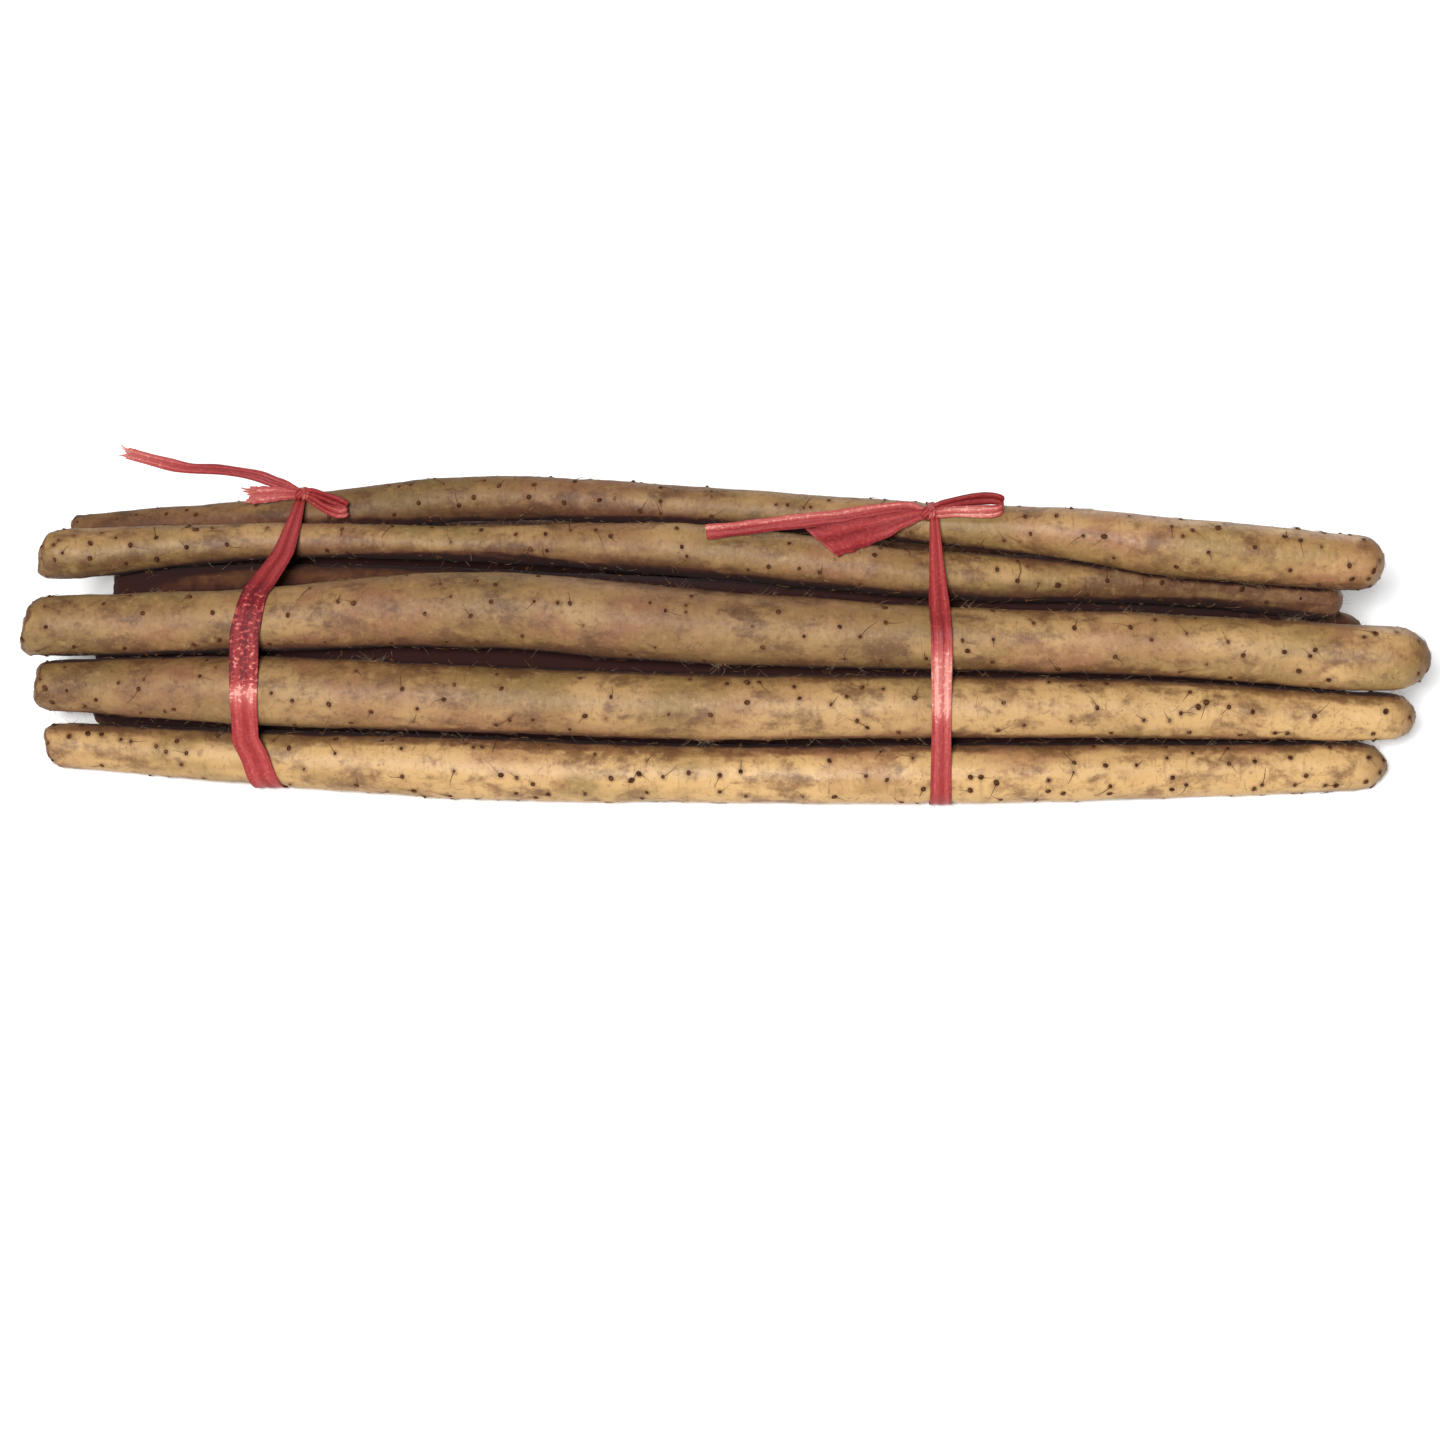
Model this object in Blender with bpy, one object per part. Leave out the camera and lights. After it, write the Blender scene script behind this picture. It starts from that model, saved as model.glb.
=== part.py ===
"""A bundle of Chinese yams, lying on its side and held by two plastic tapes, each tied in a one-loop bow.

Metres, +Z up. X runs along the bundle from the cut heads to the rounded feet, and -Y is its front.
The origin is on the surface that the bundle lies on, under the middle of its box.
"""

import math
import random
from dataclasses import dataclass

import bmesh
import bpy
import numpy as np
from mathutils import Vector

MM = 0.001

# Places along the bundle where each yam's course is given: near the heads, at the left tape, twice
# between the tapes, at the right tape, beyond it, and near the feet.
STATIONS = (-235, -169, -90, -10, 77, 160, 225)


@dataclass
class YamPlan:
    """One yam, in millimetres.

    Head and foot are where it ends. The course across the bundle (y), its height (z) and half its
    thickness (r) are given at the stations. A free yam lies inside or below, and moves to make room
    for the others. Taper is the length of the rounded foot in half thicknesses.
    """

    head: float
    foot: float
    y: tuple
    z: tuple
    r: tuple
    taper: float = 1.25
    free: bool = False


YAMS = {
    "yam_front_low": YamPlan(
        head=-242, foot=236, taper=1.3,
        y=(-21.7, -29.6, -35.6, -37.4, -38.8, -34.9, -31.4),
        z=(7.6, 9.0, 10.2, 9.6, 9.8, 9.0, 8.0),
        r=(8.4, 10.0, 11.7, 10.7, 11.0, 10.2, 9.0),
    ),
    "yam_front_middle": YamPlan(
        head=-245, foot=245, taper=1.1,
        y=(-9.8, -16.4, -20.9, -24.6, -24.8, -22.9, -22.6),
        z=(26.9, 30.6, 31.4, 31.4, 31.6, 28.8, 25.2),
        r=(9.4, 12.5, 12.2, 12.1, 11.3, 10.5, 8.7),
    ),
    "yam_front_high": YamPlan(
        head=-248.5, foot=249, taper=1.1,
        y=(3.8, 1.0, 0.6, -5.8, -8.6, -9.0, -13.2),
        z=(43.2, 48.4, 54.6, 52.4, 48.4, 44.9, 43.0),
        r=(11.2, 11.4, 13.9, 13.7, 11.6, 11.5, 12.0),
    ),
    "yam_top": YamPlan(
        head=-245.5, foot=222,
        y=(31.6, 37.2, 31.9, 21.3, 14.0, 20.4, 16.6),
        z=(51.4, 53.4, 57.8, 64.0, 58.6, 47.8, 42.0),
        r=(9.6, 6.8, 6.6, 10.0, 8.8, 8.4, 8.0),
    ),
    "yam_top_back": YamPlan(
        head=-237.5, foot=234, taper=0.9,
        y=(48.9, 52.0, 49.6, 38.4, 29.0, 16.6, 15.6),
        z=(46.5, 48.2, 62.9, 68.2, 66.4, 66.0, 61.4),
        r=(7.0, 8.6, 8.2, 7.6, 7.4, 10.8, 10.1),
    ),
    "yam_inner_high": YamPlan(
        head=-221, foot=232,
        y=(30.3, 24.9, 19.6, 14.5, 16.5, 13.0, 21.0),
        z=(34.9, 38.5, 41.0, 42.2, 40.6, 36.0, 27.5),
        r=(8.0, 9.4, 10.0, 10.2, 9.8, 9.2, 8.4),
    ),
    "yam_inner_low": YamPlan(
        head=-227, foot=226, free=True,
        y=(8.5, 9.6, 7.1, 1.8, -0.7, 1.0, 1.5),
        z=(27.0, 29.0, 29.5, 29.0, 27.6, 25.5, 23.0),
        r=(8.8, 9.6, 10.2, 10.2, 9.7, 8.7, 8.2),
    ),
    "yam_floor_front": YamPlan(
        head=-228, foot=228, free=True,
        y=(-1.0, -4.4, -9.4, -12.8, -14.6, -11.5, -10.0),
        z=(8.0, 10.0, 10.0, 10.0, 10.0, 9.6, 8.6),
        r=(10.0, 12.0, 11.4, 11.2, 10.8, 10.4, 9.4),
    ),
    "yam_floor_middle": YamPlan(
        head=-229, foot=227, free=True,
        y=(20.5, 19.6, 15.0, 11.4, 11.8, 12.5, 13.0),
        z=(8.0, 9.6, 9.6, 9.6, 9.6, 9.2, 8.4),
        r=(8.6, 10.4, 10.6, 10.7, 10.6, 10.2, 9.4),
    ),
    "yam_floor_back": YamPlan(
        head=-234, foot=233, free=True,
        y=(41.0, 42.8, 39.5, 37.4, 37.0, 36.4, 34.8),
        z=(8.0, 9.8, 10.4, 10.8, 10.8, 10.2, 9.2),
        r=(8.7, 10.6, 11.4, 11.9, 11.8, 11.3, 10.2),
    ),
    "yam_back": YamPlan(
        head=-221, foot=225,
        y=(49.5, 51.4, 48.8, 44.6, 41.0, 38.0, 35.6),
        z=(27.5, 31.6, 40.2, 42.2, 39.8, 35.5, 31.5),
        r=(8.5, 10.2, 11.0, 11.4, 11.2, 10.8, 9.8),
    ),
}

# Room kept between neighbours, and between a yam and the tape round it.
CLEARANCE = 0.45 * MM
TAPE_ROOM = 0.35 * MM

# How the yams are settled. The slices reach past the stations at both ends. The squeeze fades out, and
# the moves are evened out, over these shares of the sweeps. A held yam takes a small share of each push.
SLICES = 61
HEAD_OVERRUN = 20 * MM
FOOT_OVERRUN = 30 * MM
SWEEPS = 260
SQUEEZE = 0.003
SQUEEZING_SHARE = 0.8
EVENING_SHARE = 0.75
HELD_SHARE = 0.12
# A yam on the surface lies with its centre this share of its half thickness above it, and is
# pressed flat there. Towards a tape it rises over this length, to leave the tape its room.
BEDDING = 0.9
RISE_LENGTH = 42 * MM
UNDER_TAPE_ROOM = 0.55 * MM

# The skin: flats round a yam, the angle in degrees past which an edge is sharp, the spacing of its
# rings, and how far its dips take away of its thickness.
SIDES = 12
SHARP_ANGLE = 40
RING_STEP = 14.5 * MM
OVAL_DIP = 0.05
LUMP_DIP = 0.035
LUMP_LENGTHS = (31 * MM, 52 * MM, 83 * MM)

# The root scars that stand out of the skin.
SCARS_PER_YAM = 18
SCAR_SPACING = 23 * MM
SCAR_HALF = 1.1 * MM
SCAR_HEIGHT = 0.8 * MM
SCAR_MARGIN = 3.3 * MM

# Cut head: rings from the face inwards, each (distance from the end, share of the thickness).
HEAD_RINGS = ((0.0, 0.62), (1.3 * MM, 0.86), (4.2 * MM, 0.97))
HEAD_DISH = 0.5 * MM
# The rings that round the foot.
FOOT_RINGS = 4
FOOT_END = 0.6

# The tapes: a flat film drawn together to this thickness.
TAPE_THICK = 0.7 * MM
TAPE_TURN_STEPS = 36
TAPE_SHORTEST_STEP = 1.2 * MM
# The point of the bundle's section from which the way round it is measured.
BUNDLE_MIDDLE = (5 * MM, 20 * MM)
KNOT_RADII = (3.1 * MM, 2.5 * MM, 2.1 * MM)


@dataclass
class Strand:
    """A free stretch of tape.

    Each point is (x, y, z, width, tilt): millimetres from the knot, the width of the film, and the
    tilt in degrees of that width, from 0 where it lies level to 90 where it stands on its edge.
    """

    points: tuple


@dataclass
class TiePlan:
    """One tape.

    Route is where along X it runs as it goes round, as (degrees from +Y, millimetres). The knot sits
    on the highest yam, as (place along X in millimetres, degrees from +Y round that yam). The tape is
    narrow at the knot and widens over the neck's length.
    """

    width: float
    neck: float
    neck_width: float
    route: tuple
    knot: tuple
    strands: dict

    def seat_knot(self, yam):
        """Where the middle of the knot is, with the knot resting on the yam."""
        place, turn = self.knot
        centre = yam.centre(place * MM)
        outward = Vector((0, math.cos(math.radians(turn)), math.sin(math.radians(turn))))
        return centre + outward * (yam.half(centre.x) + TAPE_ROOM + KNOT_RADII[2])


# The yam that both knots sit on.
UNDER_KNOTS = "yam_top_back"

TIES = {
    "tie_left": TiePlan(
        width=9.8 * MM, neck=46 * MM, neck_width=3.0 * MM,
        route=((-180, -165.5), (-159, -160.5), (-90, -158), (0, -156), (39, -152.4), (68, -157),
               (94, -165), (116, -168.3), (172, -168.3), (180, -165.5)),
        knot=(-152.4, 88),
        strands={
            "loop": Strand((
                (0.8, 0.2, 0.9, 3.0, 80), (4.5, -1.9, 2.0, 4.0, 75), (9.4, -4.5, 2.0, 4.5, 75),
                (14.0, -6.5, 1.6, 4.6, 70), (16.6, -8.3, 1.1, 4.6, 70), (16.2, -10.2, 0.8, 4.6, 70),
                (13.2, -10.5, 0.8, 4.5, 75), (8.6, -8.3, 1.0, 4.3, 75), (4.4, -4.4, 0.8, 4.0, 75),
                (0.8, -1.0, 0.1, 3.0, 80),
            )),
            "long_tail": Strand((
                (0.0, 0.0, 0.0, 3.0, 60), (-5.0, 1.8, 1.6, 3.8, 50), (-10.1, 3.2, 3.0, 4.4, 45),
                (-17.5, 5.0, 4.8, 4.0, 45), (-29.8, 5.9, 6.7, 3.6, 45), (-40.8, 6.0, 7.3, 3.9, 45),
                (-50.7, 7.1, 9.0, 4.6, 45), (-63.2, 8.7, 12.2, 4.0, 45),
            )),
            "short_tail": Strand((
                (0.0, 0.0, 0.0, 3.0, 50), (-6.0, -0.2, 0.4, 4.4, 40), (-12.0, -0.7, 0.7, 5.8, 40),
                (-18.8, -1.3, 0.6, 6.4, 40),
            )),
        },
    ),
    "tie_right": TiePlan(
        width=7.2 * MM, neck=34 * MM, neck_width=3.0 * MM,
        route=((-180, 76.3), (-159, 76.8), (-90, 77), (0, 76), (66, 74.4), (100, 75.4), (120, 76.3),
               (180, 76.3)),
        knot=(72.6, 116),
        strands={
            "loop": Strand((
                (0.8, 0.8, 0.6, 3.0, 80), (5.4, 1.9, 1.9, 4.2, 80), (14.0, 3.3, 3.0, 4.9, 80),
                (22.2, 3.7, 3.4, 5.0, 80), (26.0, 2.0, 3.4, 5.0, 80), (25.7, -1.2, 3.1, 5.0, 80),
                (21.4, -2.2, 2.6, 5.0, 80), (10.2, -1.3, 1.7, 4.6, 80), (4.0, -0.9, 0.6, 3.8, 80),
                (0.8, -0.7, 0.0, 3.0, 80),
            )),
            "long_tail": Strand((
                (0.0, 0.0, 0.0, 3.0, 60), (-9.6, 1.4, 1.2, 4.2, 45), (-29.0, -1.8, 0.0, 5.4, 40),
                (-50.2, -4.3, -0.9, 5.2, 35), (-65.0, -6.3, -1.6, 5.4, 25), (-78.8, -7.9, -2.2, 6.0, 18),
            )),
            "short_tail": Strand((
                (0.0, 0.0, 0.0, 3.0, 60), (-8.0, -2.0, -1.0, 5.6, 50), (-18.4, -5.4, -2.8, 9.0, 42),
                (-28.4, -8.9, -2.9, 11.4, 32), (-38.2, -12.4, -3.2, 13.2, 26),
            )),
        },
    ),
}

SKIN = dict(colour=(0.46, 0.30, 0.16, 1), roughness=0.62)
TAPE = dict(colour=(0.72, 0.13, 0.20, 1), roughness=0.34)


def clear_scene():
    """Removes whatever the scene holds."""
    for thing in list(bpy.data.objects):
        bpy.data.objects.remove(thing, do_unlink=True)


def finish_of(name, colour, roughness):
    """A plain material of one colour."""
    material = bpy.data.materials.new(name)
    material.use_nodes = True
    shader = material.node_tree.nodes["Principled BSDF"]
    shader.inputs["Base Color"].default_value = colour
    shader.inputs["Roughness"].default_value = roughness
    shader.inputs["Metallic"].default_value = 0.0
    return material


def smooth_through(places, values, at):
    """Values at the given places, on a smooth curve through the stations that stays level past them."""
    slopes = np.gradient(values, places)
    at = np.clip(at, places[0], places[-1])
    span = np.clip(np.searchsorted(places, at, side="right") - 1, 0, len(places) - 2)
    width = places[span + 1] - places[span]
    t = (at - places[span]) / width
    start = (1 + 2 * t) * (1 - t) ** 2 * values[span] + t * (1 - t) ** 2 * width * slopes[span]
    end = t * t * (3 - 2 * t) * values[span + 1] + t * t * (t - 1) * width * slopes[span + 1]
    return start + end


def course_of(numbers, along):
    """One of a plan's rows of station values, in metres, in every slice."""
    return smooth_through(np.array(STATIONS) * MM, np.array(numbers) * MM, along)


def tape_distance(x):
    """How far a place along the bundle is from the nearest stretch that a tape crosses."""
    distances = []
    for tie in TIES.values():
        places = [place * MM for _, place in tie.route]
        distances.append(max(min(places) - tie.width / 2 - x, x - max(places) - tie.width / 2, 0.0))
    return min(distances)


def height_over_surface(x, half):
    """How high a yam's centre is, at the least, at a place along the bundle."""
    beyond = min(1.0, max(0.0, tape_distance(x) - RING_STEP / 2) / RISE_LENGTH)
    bedded = beyond * beyond * (3 - 2 * beyond)
    under_tape = half + TAPE_THICK + UNDER_TAPE_ROOM
    return under_tape + (half * BEDDING - under_tape) * bedded


def evened(moves):
    """Moves of the slices, each averaged with its neighbours, so that a yam bends and doesn't kink."""
    padded = np.concatenate([moves[:, :1], moves, moves[:, -1:]], axis=1)
    return 0.25 * padded[:, :-2] + 0.5 * padded[:, 1:-1] + 0.25 * padded[:, 2:]


def part_neighbours(centres, thickness, share):
    """Moves every two yams that touch apart, each by its share."""
    for a in range(len(centres)):
        for b in range(a + 1, len(centres)):
            apart = centres[b] - centres[a]
            distance = np.linalg.norm(apart, axis=1)
            lack = np.maximum(thickness[a] + thickness[b] + CLEARANCE - distance, 0)
            push = apart * (lack / distance)[:, None]
            centres[a] -= push * share[a] / (share[a] + share[b])
            centres[b] += push * share[b] / (share[a] + share[b])


def settle(along):
    """Lets the free yams close in and sink between the others, then parts all that still touch.

    Returns the centres (yam, slice, y and z) and the half thicknesses (yam, slice).
    """
    plans = list(YAMS.values())
    given = np.array([[course_of(plan.y, along), course_of(plan.z, along)] for plan in plans])
    given = given.transpose(0, 2, 1)
    thickness = np.array([course_of(plan.r, along) for plan in plans])
    free = np.array([plan.free for plan in plans])
    share = np.where(free, 1.0, HELD_SHARE)
    floor = np.array([
        [height_over_surface(x, half) for x, half in zip(along, row)] for row in thickness
    ])
    middle = given[:, :, 0].mean(axis=0)
    centres = given.copy()
    for sweep in range(SWEEPS):
        squeeze = SQUEEZE * max(0.0, 1 - sweep / (SWEEPS * SQUEEZING_SHARE))
        inwards = np.stack([middle - centres[:, :, 0], floor - centres[:, :, 1]], axis=2)
        centres += squeeze * free[:, None, None] * inwards
        part_neighbours(centres, thickness, share)
        if sweep < SWEEPS * EVENING_SHARE:
            centres = given + evened(centres - given)
        centres[:, :, 1] = np.maximum(centres[:, :, 1], floor)
    return centres, thickness


class Yam:
    """One settled yam: its course as functions of the place along the bundle."""

    def __init__(self, name, along, centres, thickness):
        self.name = name
        self.plan = YAMS[name]
        self.along = along
        self.centres = centres
        self.thickness = thickness
        self.head = self.plan.head * MM
        self.foot = self.plan.foot * MM
        self.rng = random.Random(name)
        self.turn = self.rng.uniform(0, math.tau)
        self.phases = [(self.rng.uniform(0, math.tau), self.rng.randint(1, 3)) for _ in LUMP_LENGTHS]

    def centre(self, x):
        y = float(np.interp(x, self.along, self.centres[:, 0]))
        z = float(np.interp(x, self.along, self.centres[:, 1]))
        return Vector((x, y, z))

    def half(self, x):
        return float(np.interp(x, self.along, self.thickness))

    def surface(self, x, angle, share):
        """A point of the skin. The dips only ever take thickness away, so neighbours stay clear."""
        dip = OVAL_DIP * (0.5 + 0.5 * math.cos(2 * (angle - self.turn)))
        for length, (phase, waves) in zip(LUMP_LENGTHS, self.phases):
            wave = math.sin(math.tau * x / length + phase + waves * angle)
            dip += LUMP_DIP * (0.5 + 0.5 * wave) / len(LUMP_LENGTHS)
        reach = self.half(x) * share * (1 - dip)
        point = self.centre(x) + Vector((0, math.cos(angle), math.sin(angle))) * reach
        point.z = max(point.z, 0.0)
        return point

    def rings(self):
        """(place along X, share of the full thickness) of every ring, from the head to the foot."""
        made = [(self.head + inward, share) for inward, share in HEAD_RINGS]
        taper = self.plan.taper * self.half(self.foot)
        start = made[-1][0] + RING_STEP / 2
        end = self.foot - taper
        count = round((end - start) / RING_STEP)
        made += [(start + (end - start) * i / count, 1.0) for i in range(count + 1)]
        for i in range(1, FOOT_RINGS + 1):
            angle = math.pi / 2 * i / (FOOT_RINGS + FOOT_END)
            made.append((end + taper * math.sin(angle), math.cos(angle)))
        return made


def may_carry_scar(point, outward, yam, others):
    """Whether a scar here would stand clear of the other yams, the tapes and the surface below."""
    tip = point + outward * SCAR_HEIGHT
    if tip.z < SCAR_MARGIN or tape_distance(point.x) < SCAR_MARGIN:
        return False
    for other in others:
        if other is yam or not other.head - SCAR_MARGIN < point.x < other.foot + SCAR_MARGIN:
            continue
        if (tip - other.centre(point.x)).length < other.half(point.x) + SCAR_MARGIN:
            return False
    return True


def raise_scar(mesh, face, outward):
    """Sets a small four-sided scar in the middle of a face of the skin."""
    corners = list(face.verts)
    middle = face.calc_center_median()
    inner = []
    for corner in corners:
        across = (corner.co - middle).normalized()
        inner.append(mesh.verts.new(middle + across * SCAR_HALF * math.sqrt(2)))
    tip = mesh.verts.new(middle + outward * SCAR_HEIGHT)
    mesh.faces.remove(face)
    for i in range(4):
        j = (i + 1) % 4
        mesh.faces.new((corners[i], corners[j], inner[j], inner[i]))
        mesh.faces.new((inner[i], inner[j], tip))


def grow_scars(mesh, skin_faces, yam, others):
    """Scatters root scars evenly over the faces of the skin that may carry one."""
    allowed = []
    for face in skin_faces:
        face.normal_update()
        if may_carry_scar(face.calc_center_median(), face.normal, yam, others):
            allowed.append(face)
    yam.rng.shuffle(allowed)
    taken = []
    for face in allowed:
        spot = face.calc_center_median()
        if len(taken) < SCARS_PER_YAM and all((spot - one).length > SCAR_SPACING for one in taken):
            taken.append(spot)
            raise_scar(mesh, face, face.normal.copy())


def build_yam(yam, others, material):
    """One yam in one piece: cut head, lumpy body with root scars, rounded foot."""
    mesh = bmesh.new()
    turns = [math.tau * (i + 0.5) / SIDES for i in range(SIDES)]
    rings = [
        [mesh.verts.new(yam.surface(x, turn, share)) for turn in turns] for x, share in yam.rings()
    ]
    head_pole = mesh.verts.new(yam.centre(yam.head) + Vector((HEAD_DISH, 0, 0)))
    foot_pole = mesh.verts.new(yam.centre(yam.foot))
    skin_faces = []
    for near, far in zip(rings, rings[1:]):
        for i in range(SIDES):
            j = (i + 1) % SIDES
            skin_faces.append(mesh.faces.new((near[i], near[j], far[j], far[i])))
    for i in range(SIDES):
        j = (i + 1) % SIDES
        mesh.faces.new((head_pole, rings[0][j], rings[0][i]))
        mesh.faces.new((foot_pole, rings[-1][i], rings[-1][j]))
    bmesh.ops.recalc_face_normals(mesh, faces=mesh.faces[:])
    body = skin_faces[len(HEAD_RINGS) * SIDES : -FOOT_RINGS * SIDES]
    grow_scars(mesh, body, yam, others)
    bmesh.ops.recalc_face_normals(mesh, faces=mesh.faces[:])
    return finished(yam.name, mesh, material)


def finished(name, mesh, material):
    """Turns a bmesh into a smooth-shaded object of its own."""
    data = bpy.data.meshes.new(name)
    mesh.to_mesh(data)
    mesh.free()
    data.shade_smooth()
    data.set_sharp_from_angle(angle=math.radians(SHARP_ANGLE))
    data.materials.append(material)
    thing = bpy.data.objects.new(name, data)
    bpy.context.scene.collection.objects.link(thing)
    return thing


def strip_solid(sections, closed):
    """A flat strip as one body.

    Each section is (middle, across, out): across reaches from the middle of the inner face to its
    edge, and out from the inner face to the outer one.
    """
    mesh = bmesh.new()
    rows = []
    for middle, across, out in sections:
        corners = (middle - across, middle + across, middle + across + out, middle - across + out)
        rows.append([mesh.verts.new(corner) for corner in corners])
    for near, far in zip(rows, rows[1:] + rows[:1] if closed else rows[1:]):
        for i in range(4):
            j = (i + 1) % 4
            mesh.faces.new((near[i], near[j], far[j], far[i]))
    if not closed:
        mesh.faces.new(rows[0])
        mesh.faces.new(rows[-1])
    bmesh.ops.recalc_face_normals(mesh, faces=mesh.faces[:])
    return mesh


def place_of_tape(tie, y, z):
    """Where along X the tape runs past this point of the bundle's section."""
    angle = math.degrees(math.atan2(z - BUNDLE_MIDDLE[1], y - BUNDLE_MIDDLE[0]))
    angles, places = zip(*tie.route)
    return float(np.interp(angle, angles, places)) * MM


def touched_points(tie, yams, knot):
    """Points (y, z, x) round every yam, at the tape's room from the skin under the tape's width."""
    points = [(knot.y, knot.z, knot.x)]
    for yam in yams:
        beside_knot = yam.centre(knot.x)
        for i in range(TAPE_TURN_STEPS):
            angle = math.tau * i / TAPE_TURN_STEPS
            outward = Vector((0, math.cos(angle), math.sin(angle)))
            skin = beside_knot + outward * yam.half(beside_knot.x)
            x = place_of_tape(tie, skin.y, skin.z)
            for place in (x - tie.width / 2, x, x + tie.width / 2):
                point = yam.centre(place) + outward * (yam.half(place) + TAPE_ROOM)
                points.append((point.y, point.z, x))
    return points


def turns_left(start, middle, end):
    """Whether the way through three points of the section bends to the left at the middle one."""
    along = (middle[0] - start[0]) * (end[1] - start[1])
    return along > (middle[1] - start[1]) * (end[0] - start[0])


def pulled_tight(points):
    """The points that a band pulled tight round them all touches, in order round them."""
    course = []
    for ordered in (sorted(points), sorted(points, reverse=True)):
        side = []
        for point in ordered:
            while len(side) > 1 and not turns_left(side[-2], side[-1], point):
                side.pop()
            side.append(point)
        course += side[:-1]
    return course


def tape_loop(tie, yams, knot):
    """The tape once round the bundle, as the sections of a closed strip."""
    course = []
    for y, z, x in pulled_tight(touched_points(tie, yams, knot)):
        point = Vector((x, y, z))
        if not course or (point - course[-1]).length > TAPE_SHORTEST_STEP:
            course.append(point)
    sections = []
    for before, point, after in zip(course[-1:] + course, course, course[1:] + course[:1]):
        ahead = (after - before).normalized()
        out = Vector((0, ahead.z, -ahead.y)).normalized() * TAPE_THICK
        from_knot = min(1.0, (point - knot).length / tie.neck)
        width = tie.neck_width + (tie.width - tie.neck_width) * from_knot
        sections.append((point, Vector((width / 2, 0, 0)), out))
    return sections


def strand_sections(strand, knot):
    """The sections of a free stretch of tape, with its width square to the way it runs."""
    course = [knot + Vector(point[:3]) * MM for point in strand.points]
    sections = []
    for i, (_, _, _, width, tilt) in enumerate(strand.points):
        ahead = (course[min(i + 1, len(course) - 1)] - course[max(i - 1, 0)]).normalized()
        across = Vector((0, math.cos(math.radians(tilt)), math.sin(math.radians(tilt))))
        across = (across - ahead * across.dot(ahead)).normalized() * width / 2 * MM
        out = ahead.cross(across).normalized() * TAPE_THICK
        sections.append((course[i] - out / 2, across, out))
    return sections


def bow_pieces(name, tie, knot, material):
    """The knot, the one loop and the two tails, as bodies that sink into each other at the knot."""
    ball = bmesh.new()
    bmesh.ops.create_icosphere(ball, subdivisions=2, radius=1)
    bmesh.ops.scale(ball, vec=KNOT_RADII, verts=ball.verts)
    bmesh.ops.translate(ball, vec=knot, verts=ball.verts)
    pieces = [finished(name + "_knot", ball, material)]
    for part, strand in tie.strands.items():
        mesh = strip_solid(strand_sections(strand, knot), closed=False)
        pieces.append(finished(f"{name}_{part}", mesh, material))
    return pieces


def shells_of(mesh):
    """The faces of a triangulated mesh, as one list for each closed surface in it."""
    left = set(mesh.faces)
    shells = []
    while left:
        shell = []
        reached = [left.pop()]
        while reached:
            face = reached.pop()
            shell.append(face)
            beside = {other for edge in face.edges for other in edge.link_faces} & left
            left -= beside
            reached += beside
        shells.append(shell)
    return shells


def fill_hollows(data):
    """Drops the closed surfaces that face inwards: hollows that strands of the knot have sealed."""
    mesh = bmesh.new()
    mesh.from_mesh(data)
    bmesh.ops.triangulate(mesh, faces=mesh.faces[:])
    for shell in shells_of(mesh):
        corners = [[vert.co for vert in face.verts] for face in shell]
        if sum(a.dot(b.cross(c)) for a, b, c in corners) < 0:
            bmesh.ops.delete(mesh, geom=shell, context="FACES")
    mesh.to_mesh(data)
    mesh.free()


def build_tie(name, tie, yams, material):
    """The tape round the bundle with its knot and bow, joined into one body."""
    knot = tie.seat_knot(next(yam for yam in yams if yam.name == UNDER_KNOTS))
    band = finished(name, strip_solid(tape_loop(tie, yams, knot), closed=True), material)
    together = bpy.data.collections.new(name + "_bow")
    bpy.context.scene.collection.children.link(together)
    for piece in bow_pieces(name, tie, knot, material):
        bpy.context.scene.collection.objects.unlink(piece)
        together.objects.link(piece)
    join = band.modifiers.new("join", "BOOLEAN")
    join.operation = "UNION"
    join.solver = "MANIFOLD"
    join.operand_type = "COLLECTION"
    join.collection = together
    bpy.context.view_layer.objects.active = band
    bpy.ops.object.modifier_apply(modifier=join.name)
    for piece in list(together.objects):
        bpy.data.objects.remove(piece, do_unlink=True)
    bpy.data.collections.remove(together)
    fill_hollows(band.data)
    return band


def centre_on_origin(things):
    """Moves everything together, so that the middle of the box's bottom is the origin."""
    corners = [Vector(vertex.co) for thing in things for vertex in thing.data.vertices]
    low = Vector([min(corner[i] for corner in corners) for i in range(3)])
    high = Vector([max(corner[i] for corner in corners) for i in range(3)])
    for thing in things:
        thing.location = -Vector(((low.x + high.x) / 2, (low.y + high.y) / 2, low.z))


def main():
    clear_scene()
    skin = finish_of("yam_skin", **SKIN)
    film = finish_of("tape_film", **TAPE)
    along = np.linspace(STATIONS[0] * MM - HEAD_OVERRUN, STATIONS[-1] * MM + FOOT_OVERRUN, SLICES)
    centres, thickness = settle(along)
    yams = [
        Yam(name, along, centre, half) for name, centre, half in zip(YAMS, centres, thickness)
    ]
    things = [build_yam(yam, yams, skin) for yam in yams]
    things += [build_tie(name, tie, yams, film) for name, tie in TIES.items()]
    centre_on_origin(things)


main()
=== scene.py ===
"""The looks of a tied bundle of Chinese yams: skins, root scars, rootlets, hairs and creased film tapes.

Metres, +Z up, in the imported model's own place. X runs from the cut heads to the rounded feet, -Y is the
front, and the bundle lies on z = 0.
"""

import logging
import math
import random
from collections.abc import Iterable, Sequence
from dataclasses import dataclass, field
from enum import Enum

import bpy
import numpy as np
from mathutils import Matrix, Vector
from mathutils.bvhtree import BVHTree
from mathutils.kdtree import KDTree


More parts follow.
